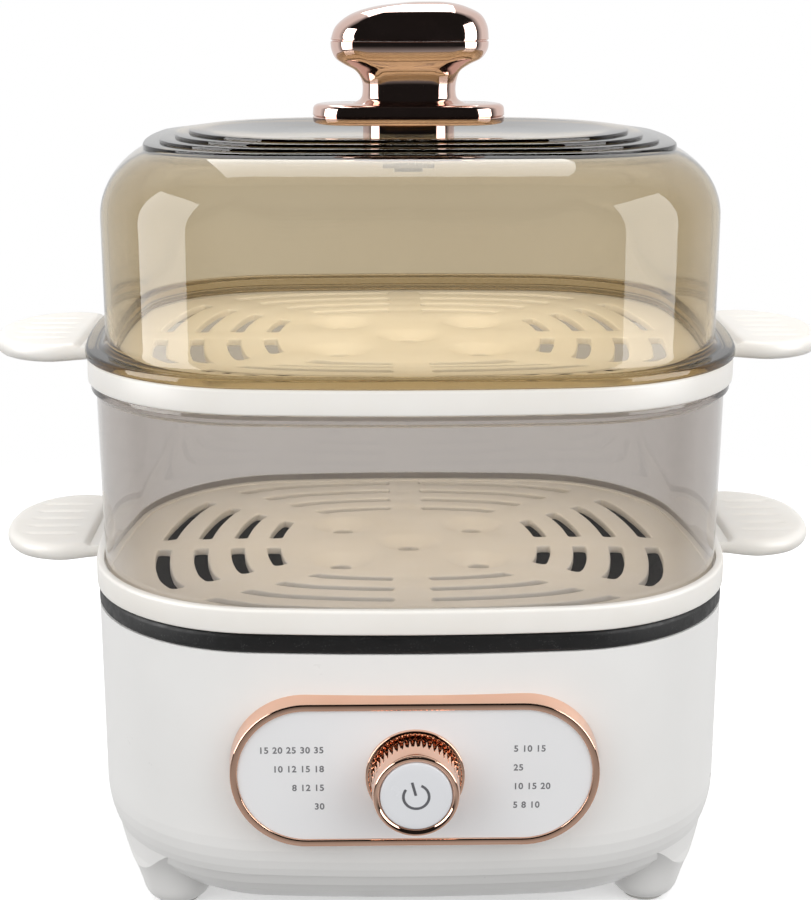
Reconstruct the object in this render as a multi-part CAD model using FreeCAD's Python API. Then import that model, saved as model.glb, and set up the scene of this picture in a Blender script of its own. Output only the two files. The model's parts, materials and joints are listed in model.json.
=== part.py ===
"""Two-tier electric egg cooker, millimetres, +Z up, front towards -Y.

Every sub-part is drawn about the upright centre line of the body and is written
with the whole model shifted so that the origin is the bottom centre of its box.
"""
import FreeCAD, Part
import math
import os

Vec = FreeCAD.Vector
X_AXIS = Vec(1, 0, 0)
Y_AXIS = Vec(0, 1, 0)
Z_AXIS = Vec(0, 0, 1)

# ---- footprint of the body: eight tangent arcs --------------------------------
BODY_HALF_X = 110.0
BODY_HALF_Y = 97.8
BODY_CORNER = 62.0
BODY_BOW = 2.0            # how far the long sides stand out past the corner arcs

# ---- heights above the table --------------------------------------------------
FOOT_PAD_HEIGHT = 1.6
COVER_BOTTOM = 5.0        # lowest point of the bottom cover's shell
PARTING_Z = 32.2          # joint between bottom cover and housing
ROUND_CENTRE_Z = 40.0     # the base rounds inwards below this height
ROUND_R = 35.0
COVER_STEPS_Z = (17.0, 21.2, 26.0)   # shallow steps around the bottom cover
COVER_STEP = 0.5
HOUSING_TOP = 105.0
PAN_RIM_TOP = 111.7
TIER_PITCH = 70.9
RING_HEIGHT = 8.2         # visible white ring of a steaming tray

# ---- walls ----------------------------------------------------------------------
HOUSING_WALL = 3.0
COVER_WALL = 3.0
PAN_WALL = 2.0
CLEAR_WALL = 2.2          # transparent collar and lid
FLOOR_THICKNESS = 2.5     # tray floor

# ---- pan ------------------------------------------------------------------------
PAN_BOTTOM = 76.0         # underside of the pan
PAN_RIM_WIDTH = 4.2
PAN_WALL_INSET = 5.0
PAN_FOOT_INSET = 16.0
PAN_EDGE_R = 9.0

# ---- steaming trays ---------------------------------------------------------------
RING_OVERHANG = 0.6
RING_WALL_INSET = 2.1
SKIRT_OUT_INSET = 4.6
SKIRT_IN_INSET = 6.6
SKIRT_DROP = 2.4
LEDGE_DEPTH = 2.0         # collar seat below the ring's top
FLOOR_DEPTH = 2.5         # floor below the ring's top
SLOT_OUTER_HALF = 90.5
SLOT_PITCH = 13.0
SLOT_WIDTH = 4.8
SLOT_RINGS = 4
BRIDGE_HALF = 5.7         # on the long and short axes
DIAGONAL_HALF = 8.3
DIAGONAL_ANGLE = 43.0
CUP_PLACE = 24.3          # egg cups at (+-, +-) this and one in the centre
CUP_R = 12.5
CUP_DEPTH = 3.0
CUP_HOLE_R = 3.6
EAR_TIP_X = 145.5
EAR_ROOT_X = 104.0
EAR_HALF_Y = 33.0
EAR_SIDE = ((104.0, 27.5), (113.0, 29.5), (124.0, 33.0), (135.5, 28.0), (143.2, 16.0))
EAR_THICKNESS = 6.0
EAR_LIFT = 3.4            # underside of an ear above the ring's underside
EAR_GROOVES = 5
EAR_GROOVE_PITCH = 9.0

# ---- collar and lid -----------------------------------------------------------------
COLLAR_FOOT_INSET = 2.6
COLLAR_HEAD_INSET = 2.0
COLLAR_LIP_INSET = 0.3
COLLAR_LIP_HEIGHT = 2.7
BRIM_OVERHANG = 1.2
BRIM_HEIGHT = 3.2
LID_LIP_OUT_INSET = 2.6
LID_LIP_DROP = 1.6
LID_WALL_INSET = 5.7
LID_ROUND_R = 23.0
LID_ROUND_CENTRE_Z = 236.5
LID_ROUND_STEPS = 7
LID_SHOULDER_Z = 258.9
LID_CEILING_Z = LID_SHOULDER_Z - CLEAR_WALL
LID_STEP_HALVES = ((90.2, 70.0), (85.4, 64.0), (80.6, 58.0), (76.0, 52.0))
LID_STEP_HEIGHT = 0.95
HANDLE_SEAT_Z = 260.6
LID_BOLT_R = 3.2
GASKET_THICKNESS = 1.6

# ---- handle: (z, left x, right x, half y) sections ------------------------------------
HANDLE_SEAM_LOW = 266.3
HANDLE_SEAM_HIGH = 291.6
FLANGE_TOP = 270.4
BOSS_HALF = (15.9, 10.5)
FLANGE_HALF = (33.2, 15.0)
NECK_SECTIONS = ((270.4, -19.5, 19.8, 12.0), (272.0, -16.6, 16.9, 10.2), (275.0, -15.9, 16.2, 9.8),
                 (278.4, -16.3, 16.6, 9.9), (281.4, -18.4, 17.9, 10.6), (283.6, -22.4, 21.2, 11.8))
HEAD_LOW_SECTIONS = ((283.6, -22.4, 21.2, 11.8), (285.6, -25.2, 25.1, 12.8),
                     (288.7, -26.6, 27.2, 13.6), (291.6, -26.8, 27.5, 13.8))
HEAD_HIGH_SECTIONS = ((291.6, -26.8, 27.5, 13.8), (296.3, -25.0, 27.0, 13.2), (300.3, -19.8, 24.6, 11.4),
                      (302.8, -11.9, 19.6, 8.4), (304.0, -3.0, 15.0, 5.0), (304.4, 2.0, 11.0, 2.6))

# ---- control panel and knob -----------------------------------------------------------
PANEL_Z = 66.3
PANEL_HALF_X = 59.0
PANEL_HALF_Z = 24.5
TRIM_WIDTH = 2.3
TRIM_FLARE = 0.8          # the trim is wider where it meets the housing
TRIM_FRONT_Y = -103.8
PANEL_FRONT_Y = -103.0
PANEL_BACK_Y = -99.6
KNOB_Z = 66.1
BEZEL_R = 15.85
BEZEL_BORE_R = 14.6
BEZEL_DEPTH = 1.4
KNOB_FRONT_Y = -118.5
KNOB_BACK_Y = -104.8
KNOB_RING_R = 13.8
KNOB_SKIRT_R = 14.1
KNOB_TEETH = 48
CAP_R = 11.3
CAP_RECESS = 1.2
SHAFT_R = 3.0
SHAFT_FLAT = 1.0
BUSHING_R = 4.5
BUSHING_FRONT_Y = -103.4
BOARD_FRONT_Y = -88.6
BOARD_THICKNESS = 1.6
ENCODER_FRONT_Y = -95.4
ROTOR_R = 5.0

# ---- heater --------------------------------------------------------------------------
PLATE_R = 68.0
PLATE_THICKNESS = 5.0
SENSOR_HOLE_R = 13.0
ELEMENT_RING_R = 40.0
ELEMENT_R = 3.25
ELEMENT_Z = 69.6
ELEMENT_GAP_DEG = 60.0
LEG_BOTTOM_Z = 48.0
DISH_FLOOR_Z = 60.0
DISH_SHEET = 0.8
DISH_FLANGE_Z = 70.0
DISH_FLOOR_R = 72.0
DISH_WALL_R = 75.5
DISH_FLANGE_R = 85.5
COLUMN_RING_R = 81.0
COLUMN_R = 3.8
COLUMN_ANGLES = (60.0, 180.0, 300.0)
POST_RING_R = 56.0
POST_R = 4.0
SENSOR_TOP_Z = 75.7
SENSOR_CAP_R = 10.2
STEM_R = 3.0
HOLDER_FLOOR = 1.2
SPRING_R = 6.0
SPRING_WIRE_R = 0.45
SPRING_PITCH = 2.4
SPRING_TURNS = 4

# ---- feet, inlet and fasteners ---------------------------------------------------------
FOOT_X = 82.0
FOOT_Y = 57.8
FOOT_CORE_R = 9.0
FOOT_SIDE = ((8.4, 1.6), (10.4, 3.2), (12.2, 7.5), (14.2, 14.0), (17.4, 20.5), (22.0, 26.0))  # (radius, z)
FOOT_LIMIT = ((1.0, -3.4), (19.0, -3.9), (26.5, -3.1))   # (z, grow): a foot stays inside the body's outline
FOOT_TOP_Z = 24.0
PAD_R = 7.6
PAD_EDGE_R = 0.8
SCREW_BORE_R = 4.2
BOSS_R = 5.0
BOSS_TOP_Z = 50.0
COVER_SCREW_HEAD_Z = 17.0
INLET_Z = 52.0
INLET_HALF = (13.5, 9.75)
INLET_DEPTH = 18.0
INLET_SCREW_X = 20.0
INLET_PINS = ((-7.0, -2.0), (0.0, 2.0), (7.0, -2.0))   # (x, height from the inlet's centre)
BOARD_LEVEL = 14.0        # underside of the power board
BOARD_POSTS = ((-42.0, -24.0), (42.0, -24.0), (-42.0, 36.0), (42.0, 36.0))

# ---- depth of the model's box, which sets the origin ------------------------------------
MODEL_BACK_Y = BODY_HALF_Y + BRIM_OVERHANG
ORIGIN_Y = (KNOB_FRONT_Y + MODEL_BACK_Y) / 2.0


def oval(z, half_x, half_y, corner, bow, grow=0.0, centre_x=0.0):
    """Closed wire of eight tangent arcs; every grow shares the same arc centres."""
    cx = half_x - corner - bow
    cy = half_y - corner - bow
    side = (cx * cx + cy * cy - (half_x - corner) ** 2) / (2.0 * bow)
    front = (cx * cx + cy * cy - (half_y - corner) ** 2) / (2.0 * bow)
    low = math.atan2(cy, cx + side)
    high = math.atan2(cy + front, cx)
    spots = [(half_x + grow, 0.0)]
    for angle in (low, (low + high) / 2.0, high):
        radius = corner + grow
        spots.append((cx + radius * math.cos(angle), cy + radius * math.sin(angle)))
    spots.append((0.0, half_y + grow))
    side_mid, tangent_low, corner_mid, tangent_high, front_mid = spots

    def place(spot, sx, sy):
        return Vec(centre_x + sx * spot[0], sy * spot[1], z)

    arcs = []
    for sx, sy in ((1, 1), (-1, 1), (-1, -1), (1, -1)):
        first, last = (tangent_low, tangent_high) if sx == sy else (tangent_high, tangent_low)
        arcs.append(Part.Arc(place(first, sx, sy), place(corner_mid, sx, sy), place(last, sx, sy)))
        middle, next_sx, next_sy = (front_mid, -sx, sy) if sx == sy else (side_mid, sx, -sy)
        arcs.append(Part.Arc(place(last, sx, sy), place(middle, sx, sy), place(last, next_sx, next_sy)))
    return Part.Wire([arc.toShape() for arc in arcs])


def outline(z, grow=0.0):
    """The body's footprint at height z, moved outwards by grow."""
    return oval(z, BODY_HALF_X, BODY_HALF_Y, BODY_CORNER, BODY_BOW, grow)


def loft(wires):
    return Part.makeLoft(wires, True, True)


def stack(levels):
    """Solid through the footprint at each (z, grow)."""
    return loft([outline(z, grow) for z, grow in levels])


def slab(half_x, half_y, corner, low, high):
    """Upright prism with a rounded outline."""
    bow = 0.02 * half_x
    return loft([oval(z, half_x, half_y, corner, bow) for z in (low, high)])


def rounded_inset(radius, fall):
    """How far a quarter round of this radius has come in after falling this far."""
    return radius - math.sqrt(max(radius ** 2 - fall ** 2, 0.0))


def cylinder(radius, start, length, axis=Z_AXIS):
    return Part.makeCylinder(radius, length, start, axis)


def tube(outer_r, inner_r, start, length, axis=Z_AXIS):
    return cylinder(outer_r, start, length, axis).cut(cylinder(inner_r, start, length, axis))


def block(x, y, z):
    """Box between two limits on each axis."""
    return Part.makeBox(x[1] - x[0], y[1] - y[0], z[1] - z[0], Vec(x[0], y[0], z[0]))


def polar(radius, angle_deg, z=0.0):
    angle = math.radians(angle_deg)
    return Vec(radius * math.cos(angle), radius * math.sin(angle), z)


def stadium(half_x, half_z, front_y, back_y, grow_back=0.0):
    """Prism along Y with half-round ends, centred on the panel; its back may be larger."""
    wires = []
    for y, grow in ((front_y, 0.0), (back_y, grow_back)):
        radius = half_z + grow
        flat = half_x - half_z
        low, high = PANEL_Z - radius, PANEL_Z + radius
        right = [Vec(flat, y, low), Vec(flat + radius, y, PANEL_Z), Vec(flat, y, high)]
        left = [Vec(-flat, y, high), Vec(-flat - radius, y, PANEL_Z), Vec(-flat, y, low)]
        edges = [Part.Arc(*right).toShape(), Part.LineSegment(right[2], left[0]).toShape(),
                 Part.Arc(*left).toShape(), Part.LineSegment(left[2], right[0]).toShape()]
        wires.append(Part.Wire(edges))
    return loft(wires)


def corners(half_x, half_y):
    return [(sx * half_x, sy * half_y) for sx in (-1, 1) for sy in (-1, 1)]


# ---- base ----------------------------------------------------------------------------
def base_housing():
    fall = ROUND_CENTRE_Z - PARTING_Z
    foot_inset = rounded_inset(ROUND_R, fall)
    outer = stack([(PARTING_Z, -foot_inset), (PARTING_Z + fall / 2, -rounded_inset(ROUND_R, fall / 2)),
                   (ROUND_CENTRE_Z, 0.0), (HOUSING_TOP, 0.0)])
    cavity = stack([(PARTING_Z - 1.0, -foot_inset - HOUSING_WALL), (ROUND_CENTRE_Z, -HOUSING_WALL),
                    (HOUSING_TOP + 1.0, -HOUSING_WALL)])
    shell = outer.cut(cavity)
    for x, y in corners(FOOT_X, FOOT_Y):
        reach = math.degrees(math.atan2(y, x))
        rib = block((0.0, 17.5), (-1.2, 1.2), (FOOT_TOP_Z + 16.0, BOSS_TOP_Z))
        rib.rotate(Vec(0, 0, 0), Z_AXIS, reach)
        rib.translate(Vec(x, y, 0))
        boss = cylinder(BOSS_R, Vec(x, y, FOOT_TOP_Z), BOSS_TOP_Z - FOOT_TOP_Z)
        shell = shell.fuse([boss, rib.common(outer)])
        shell = shell.cut(cylinder(1.6, Vec(x, y, FOOT_TOP_Z - 1.0), BOSS_TOP_Z - FOOT_TOP_Z - 1.0))
    window = stadium(PANEL_HALF_X - TRIM_WIDTH - 3.0, PANEL_HALF_Z - TRIM_WIDTH - 3.0, -BODY_HALF_Y - 5.0,
                     -BODY_HALF_Y + 12.0)
    half_x, half_z = INLET_HALF
    back_y = BODY_HALF_Y - INLET_DEPTH
    inlet = block((-half_x - 0.2, half_x + 0.2), (back_y, BODY_HALF_Y + 5.0),
                  (INLET_Z - half_z - 0.2, INLET_Z + half_z + 0.2))
    shell = shell.cut([window, inlet])
    for x in (-INLET_SCREW_X, INLET_SCREW_X):
        shell = shell.cut(cylinder(1.5, Vec(x, back_y, INLET_Z), INLET_DEPTH + 5.0, Y_AXIS))
    return shell.removeSplitter()


def cover_levels(inset):
    """Rounded underside from the bottom up to the parting line, with three small steps."""
    heights = [COVER_BOTTOM, 6.5, 9.0, 12.5, 29.0, PARTING_Z]
    heights += [edge + side for edge in COVER_STEPS_Z for side in (-0.05, 0.05)]
    levels = []
    for z in sorted(heights):
        step = COVER_STEP * sum(1 for edge in COVER_STEPS_Z if z < edge)
        fall = min(ROUND_CENTRE_Z - z, ROUND_R)
        levels.append((z, -rounded_inset(ROUND_R, fall) - step - inset))
    return levels


def foot(x, y):
    """Round foot whose side flares into the underside, without standing out past the body."""
    side = Part.BSplineCurve()
    side.interpolate([Vec(radius, 0.0, z) for radius, z in FOOT_SIDE])
    low = Vec(0.0, 0.0, FOOT_SIDE[0][1])
    high = Vec(0.0, 0.0, FOOT_SIDE[-1][1])
    edges = [side.toShape(), Part.LineSegment(side.EndPoint, high).toShape(),
             Part.LineSegment(high, low).toShape(), Part.LineSegment(low, side.StartPoint).toShape()]
    solid = Part.Face(Part.Wire(edges)).revolve(Vec(0, 0, 0), Z_AXIS, 360.0)
    solid.translate(Vec(x, y, 0.0))
    return solid.common(stack(FOOT_LIMIT))


def bottom_cover():
    outer = stack(cover_levels(0.0))
    top_inset = rounded_inset(ROUND_R, ROUND_CENTRE_Z - PARTING_Z)
    envelope = outer.fuse(stack([(PARTING_Z, -top_inset - 12.0), (DISH_FLANGE_Z, -top_inset - 12.0)]))
    hollow = stack([(z + COVER_WALL, grow - 0.3) for z, grow in cover_levels(COVER_WALL)])
    shell = outer.cut(hollow)
    tongue_low = stack([(PARTING_Z - 1.5, -top_inset - 3.2), (PARTING_Z + 2.5, -top_inset - 3.2)])
    tongue_bore = stack([(PARTING_Z - 2.0, -top_inset - 4.8), (PARTING_Z + 3.0, -top_inset - 4.8)])
    shell = shell.fuse(tongue_low.cut(tongue_bore))
    for x, y in corners(FOOT_X, FOOT_Y):
        post = cylinder(FOOT_CORE_R, Vec(x, y, FOOT_SIDE[1][1]), FOOT_TOP_Z - FOOT_SIDE[1][1])
        shell = shell.fuse([foot(x, y).cut(hollow), post])
        shell = shell.cut([cylinder(SCREW_BORE_R, Vec(x, y, 0.0), COVER_SCREW_HEAD_Z + 3.0),
                           cylinder(1.9, Vec(x, y, 0.0), FOOT_TOP_Z + 1.0)])
    for angle in COLUMN_ANGLES:
        column = cylinder(COLUMN_R, polar(COLUMN_RING_R, angle, COVER_BOTTOM), DISH_FLANGE_Z - COVER_BOTTOM)
        bore = cylinder(1.3, polar(COLUMN_RING_R, angle, DISH_FLANGE_Z - 14.0), 15.0)
        shell = shell.fuse(column.common(envelope)).cut(bore)
    for x, y in BOARD_POSTS:
        post = cylinder(3.0, Vec(x, y, COVER_BOTTOM + 1.0), BOARD_LEVEL - COVER_BOTTOM - 1.0)
        shell = shell.fuse(post)
    for side in (-1, 1):
        for row in range(6):
            y = -30.0 + 12.0 * row
            vent = block((side * 34.0 - 14.0, side * 34.0 + 14.0), (y - 1.5, y + 1.5),
                         (COVER_BOTTOM - 1.0, COVER_BOTTOM + COVER_WALL + 2.0))
            shell = shell.cut(vent)
    return shell.removeSplitter()


def foot_pad(x, y):
    """Rubber disc that covers the foot's screw bore."""
    disc = cylinder(PAD_R, Vec(x, y, 0.0), FOOT_PAD_HEIGHT)
    return disc.makeFillet(PAD_EDGE_R, [edge for edge in disc.Edges if edge.BoundBox.ZMax < 0.01])


def cover_screw(x, y):
    head_z = COVER_SCREW_HEAD_Z + 0.6
    head = cylinder(3.6, Vec(x, y, head_z), 2.4)
    shank = cylinder(1.6, Vec(x, y, head_z + 2.4), 22.0)
    drive = block((x - 2.0, x + 2.0), (y - 0.4, y + 0.4), (head_z - 0.1, head_z + 1.2))
    return head.fuse(shank).cut(drive)


# ---- control panel ---------------------------------------------------------------------
def control_panel():
    half_x = PANEL_HALF_X - TRIM_WIDTH - 0.05
    half_z = PANEL_HALF_Z - TRIM_WIDTH - 0.05
    face = stadium(half_x, half_z, PANEL_FRONT_Y, PANEL_BACK_Y)
    plug = stadium(half_x - 3.2, half_z - 3.2, PANEL_BACK_Y - 0.5, -BODY_HALF_Y + 5.0)
    plug_bore = stadium(half_x - 5.2, half_z - 5.2, PANEL_BACK_Y, -BODY_HALF_Y + 6.0)
    hole = cylinder(BUSHING_R + 0.1, Vec(0, PANEL_FRONT_Y - 5.0, KNOB_Z), 20.0, Y_AXIS)
    return face.fuse(plug.cut(plug_bore)).cut(hole).removeSplitter()


def panel_trim():
    back_y = -BODY_HALF_Y + 3.6
    ring = stadium(PANEL_HALF_X, PANEL_HALF_Z, TRIM_FRONT_Y, back_y, TRIM_FLARE)
    window = stadium(PANEL_HALF_X - TRIM_WIDTH, PANEL_HALF_Z - TRIM_WIDTH, TRIM_FRONT_Y - 1.0, back_y + 1.0)
    body = stack([(PARTING_Z, 0.02), (HOUSING_TOP, 0.02)])
    return ring.cut([window, body])


def knob_bezel():
    start = Vec(0, PANEL_FRONT_Y - BEZEL_DEPTH, KNOB_Z)
    ring = tube(BEZEL_R, BEZEL_BORE_R, start, BEZEL_DEPTH, Y_AXIS)
    web = tube(BEZEL_BORE_R + 0.5, BUSHING_R + 4.0, Vec(0, PANEL_FRONT_Y - 0.4, KNOB_Z), 0.4, Y_AXIS)
    return ring.fuse(web).removeSplitter()


def control_board():
    depth = (BOARD_FRONT_Y, BOARD_FRONT_Y + BOARD_THICKNESS)
    board = block((-46.0, 46.0), depth, (PANEL_Z - 16.0, PANEL_Z + 15.0))
    holes = [cylinder(1.3, Vec(x, BOARD_FRONT_Y - 1.0, PANEL_Z - 12.0), 5.0, Y_AXIS) for x in (-42.0, 42.0)]
    return board.cut(holes)


def board_bracket():
    """Angle piece that carries the control board on two pegs behind the fascia."""
    back_y = BOARD_FRONT_Y + BOARD_THICKNESS
    bar = block((-46.0, 46.0), (back_y, back_y + 2.0), (PANEL_Z - 16.0, PANEL_Z - 8.0))
    foot = block((-46.0, 46.0), (back_y, back_y + 9.0), (PANEL_Z - 18.0, PANEL_Z - 16.0))
    holes = [cylinder(1.0, Vec(x, back_y - 1.0, PANEL_Z - 12.0), 5.0, Y_AXIS) for x in (-42.0, 42.0)]
    return bar.fuse(foot).cut(holes).removeSplitter()


def board_screw(x):
    head = cylinder(2.4, Vec(x, BOARD_FRONT_Y - 1.6, PANEL_Z - 12.0), 1.6, Y_AXIS)
    shank = cylinder(1.0, Vec(x, BOARD_FRONT_Y, PANEL_Z - 12.0), 5.5, Y_AXIS)
    return head.fuse(shank)


def indicator_led(index):
    """Side-of-label lamp: four down the left of the board, four down the right."""
    side = -1 if index < 4 else 1
    z = PANEL_Z + 10.1 - 6.7 * (index % 4)
    x = side * 29.0
    return block((x - 1.6, x + 1.6), (BOARD_FRONT_Y - 0.9, BOARD_FRONT_Y), (z - 0.8, z + 0.8))


def encoder_body():
    case = block((-6.2, 6.2), (ENCODER_FRONT_Y, BOARD_FRONT_Y), (KNOB_Z - 6.7, KNOB_Z + 6.7))
    start = Vec(0, BUSHING_FRONT_Y, KNOB_Z)
    bushing = cylinder(BUSHING_R, start, ENCODER_FRONT_Y - BUSHING_FRONT_Y, Y_AXIS)
    bore = cylinder(SHAFT_R + 0.05, start, 20.0, Y_AXIS)
    chamber = cylinder(ROTOR_R + 0.3, Vec(0, ENCODER_FRONT_Y + 1.2, KNOB_Z), 4.2, Y_AXIS)
    deep = cylinder(SHAFT_R + 0.4, Vec(0, ENCODER_FRONT_Y + 1.2, KNOB_Z), 5.2, Y_AXIS)
    limit = block((-20, 20), (BUSHING_FRONT_Y - 1.0, ENCODER_FRONT_Y + 2.0), (0, 200))
    return case.fuse(bushing).cut([bore.common(limit), chamber, deep]).removeSplitter()


def encoder_nut():
    start = Vec(0, PANEL_FRONT_Y - 1.8, KNOB_Z)
    flats = [polar(7.0, 60.0 * turn) for turn in range(6)]
    wire = Part.makePolygon([Vec(p.x, start.y, KNOB_Z + p.y) for p in flats + flats[:1]])
    nut = Part.Face(wire).extrude(Vec(0, 1.8, 0))
    return nut.cut(cylinder(BUSHING_R + 0.02, Vec(0, start.y - 1.0, KNOB_Z), 5.0, Y_AXIS))


def d_section(radius, start_y, length):
    """Round bar along Y with one flat."""
    bar = cylinder(radius, Vec(0, start_y, KNOB_Z), length, Y_AXIS)
    top = KNOB_Z + radius - SHAFT_FLAT
    flat = block((-radius - 1, radius + 1), (start_y - 1, start_y + length + 1), (top, top + 5.0))
    return bar.cut(flat)


def encoder_rotor():
    start_y = ENCODER_FRONT_Y + 1.5
    ring = cylinder(ROTOR_R, Vec(0, start_y, KNOB_Z), 3.4, Y_AXIS)
    return ring.cut(d_section(SHAFT_R + 0.05, start_y - 1.0, 6.0))


def encoder_shaft():
    start_y = KNOB_FRONT_Y + 4.5
    front = d_section(SHAFT_R, start_y, -BEZEL_DEPTH + PANEL_FRONT_Y - start_y)
    rear_y = PANEL_FRONT_Y - BEZEL_DEPTH
    rear = d_section(SHAFT_R, rear_y, ENCODER_FRONT_Y + 5.0 - rear_y)
    return front.fuse(rear).removeSplitter()


def knob_shell():
    """Cup open at the back, knurled skirt, bevelled front ring around the cap."""
    length = KNOB_BACK_Y - KNOB_FRONT_Y
    skirt = Part.makeCone(KNOB_RING_R - 0.4, KNOB_SKIRT_R, length, Vec(0, KNOB_FRONT_Y, KNOB_Z), Y_AXIS)
    hollow = cylinder(KNOB_RING_R - 1.9, Vec(0, KNOB_FRONT_Y + 4.2, KNOB_Z), length, Y_AXIS)
    recess = cylinder(CAP_R + 0.02, Vec(0, KNOB_FRONT_Y - 1.0, KNOB_Z), 1.0 + CAP_RECESS + 1.6, Y_AXIS)
    hub = cylinder(5.6, Vec(0, KNOB_FRONT_Y + 3.0, KNOB_Z), length - 5.0, Y_AXIS)
    shell = skirt.cut([hollow, recess]).fuse(hub)
    shell = shell.cut(d_section(SHAFT_R + 0.02, KNOB_FRONT_Y + 4.48, length))
    grooves = []
    for tooth in range(KNOB_TEETH):
        spot = polar(KNOB_SKIRT_R + 0.25, 360.0 * tooth / KNOB_TEETH)
        grooves.append(cylinder(0.55, Vec(spot.x, KNOB_FRONT_Y + 3.2, KNOB_Z + spot.y), length, Y_AXIS))
    return shell.cut(grooves)


def knob_cap():
    """White disc set into the knob's front, slightly domed at its edge."""
    start_y = KNOB_FRONT_Y + CAP_RECESS - 1.0
    disc = cylinder(CAP_R, Vec(0, start_y, KNOB_Z), 2.4, Y_AXIS)
    return disc.makeFillet(0.5, [edge for edge in disc.Edges if abs(edge.CenterOfMass.y - start_y) < 0.01])


# ---- heater ----------------------------------------------------------------------------
def element_ring(radius):
    """Part ring of round tube, open towards the back, with two legs down."""
    half_gap = ELEMENT_GAP_DEG / 2.0
    start = polar(ELEMENT_RING_R, 90.0 + half_gap, ELEMENT_Z)
    tangent = polar(1.0, 180.0 + half_gap)
    circle = Part.Wire([Part.makeCircle(radius, start, tangent)])
    ring = Part.Face(circle).revolve(Vec(0, 0, 0), Z_AXIS, 360.0 - ELEMENT_GAP_DEG)
    pieces = []
    for angle in (90.0 - half_gap, 90.0 + half_gap):
        elbow = polar(ELEMENT_RING_R, angle, ELEMENT_Z)
        pieces.append(Part.makeSphere(radius, elbow))
        pieces.append(cylinder(radius, polar(ELEMENT_RING_R, angle, LEG_BOTTOM_Z), ELEMENT_Z - LEG_BOTTOM_Z))
    return ring.fuse(pieces)


def heating_plate():
    bottom = PAN_BOTTOM - PLATE_THICKNESS
    plate = cylinder(PLATE_R, Vec(0, 0, bottom), PLATE_THICKNESS)
    post_low = DISH_FLOOR_Z + DISH_SHEET
    post_height = bottom - post_low
    posts = [cylinder(POST_R, polar(POST_RING_R, angle, post_low), post_height) for angle in COLUMN_ANGLES]
    bores = [cylinder(1.3, polar(POST_RING_R, angle, DISH_FLOOR_Z), 10.0) for angle in COLUMN_ANGLES]
    centre = cylinder(SENSOR_HOLE_R, Vec(0, 0, bottom - 1.0), PLATE_THICKNESS + 2.0)
    return plate.fuse(posts).cut(bores + [centre, element_ring(ELEMENT_R + 0.05)]).removeSplitter()


def reflector_dish():
    floor_top = DISH_FLOOR_Z + DISH_SHEET
    flange_top = DISH_FLANGE_Z + DISH_SHEET
    profile = [(0, DISH_FLOOR_Z), (DISH_FLOOR_R, DISH_FLOOR_Z), (DISH_WALL_R, DISH_FLANGE_Z),
               (DISH_FLANGE_R, DISH_FLANGE_Z), (DISH_FLANGE_R, flange_top), (DISH_WALL_R - 0.8, flange_top),
               (DISH_FLOOR_R - 0.8, floor_top), (0, floor_top), (0, DISH_FLOOR_Z)]
    face = Part.Face(Part.makePolygon([Vec(r, 0, z) for r, z in profile]))
    dish = face.revolve(Vec(0, 0, 0), Z_AXIS, 360.0)
    holes = [cylinder(STEM_R + 1.0, Vec(0, 0, DISH_FLOOR_Z - 1.0), 3.0)]
    holes += [cylinder(1.7, polar(COLUMN_RING_R, angle, DISH_FLANGE_Z - 1.0), 4.0) for angle in COLUMN_ANGLES]
    holes += [cylinder(1.7, polar(POST_RING_R, angle, DISH_FLOOR_Z - 1.0), 4.0) for angle in COLUMN_ANGLES]
    for angle in (90.0 - ELEMENT_GAP_DEG / 2.0, 90.0 + ELEMENT_GAP_DEG / 2.0):
        holes.append(cylinder(ELEMENT_R + 1.2, polar(ELEMENT_RING_R, angle, DISH_FLOOR_Z - 1.0), 4.0))
    return dish.cut(holes)


def dish_screw(angle):
    top = DISH_FLANGE_Z + DISH_SHEET
    return cylinder(3.0, polar(COLUMN_RING_R, angle, top), 2.0).fuse(
        cylinder(1.3, polar(COLUMN_RING_R, angle, top - 9.0), 9.0))


def plate_screw(angle):
    return cylinder(3.0, polar(POST_RING_R, angle, DISH_FLOOR_Z - 2.0), 2.0).fuse(
        cylinder(1.3, polar(POST_RING_R, angle, DISH_FLOOR_Z), 8.0))


def element_terminal(side):
    x = side * ELEMENT_RING_R * math.sin(math.radians(ELEMENT_GAP_DEG / 2.0))
    y = ELEMENT_RING_R * math.cos(math.radians(ELEMENT_GAP_DEG / 2.0))
    blade = block((x - 3.15, x + 3.15), (y - 0.4, y + 0.4), (LEG_BOTTOM_Z - 8.0, LEG_BOTTOM_Z))
    return blade.cut(cylinder(0.8, Vec(x, y - 1.0, LEG_BOTTOM_Z - 5.0), 2.0, Y_AXIS))


def sensor_holder():
    low = DISH_FLOOR_Z + DISH_SHEET
    cup = cylinder(12.0, Vec(0, 0, low), 11.2)
    hollow = cylinder(10.6, Vec(0, 0, low + HOLDER_FLOOR), 12.0)
    return cup.cut([hollow, cylinder(STEM_R + 0.1, Vec(0, 0, low - 1.0), 5.0)])


def sensor_cap():
    skirt_z = SENSOR_TOP_Z - 7.5
    body = cylinder(SENSOR_CAP_R, Vec(0, 0, skirt_z), SENSOR_TOP_Z - skirt_z)
    hollow = cylinder(SENSOR_CAP_R - 1.0, Vec(0, 0, skirt_z - 1.0), 5.8)
    stem = cylinder(STEM_R, Vec(0, 0, DISH_FLOOR_Z - 4.0), SENSOR_TOP_Z - 2.0 - DISH_FLOOR_Z + 4.0)
    return body.cut(hollow).fuse(stem).removeSplitter()


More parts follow.
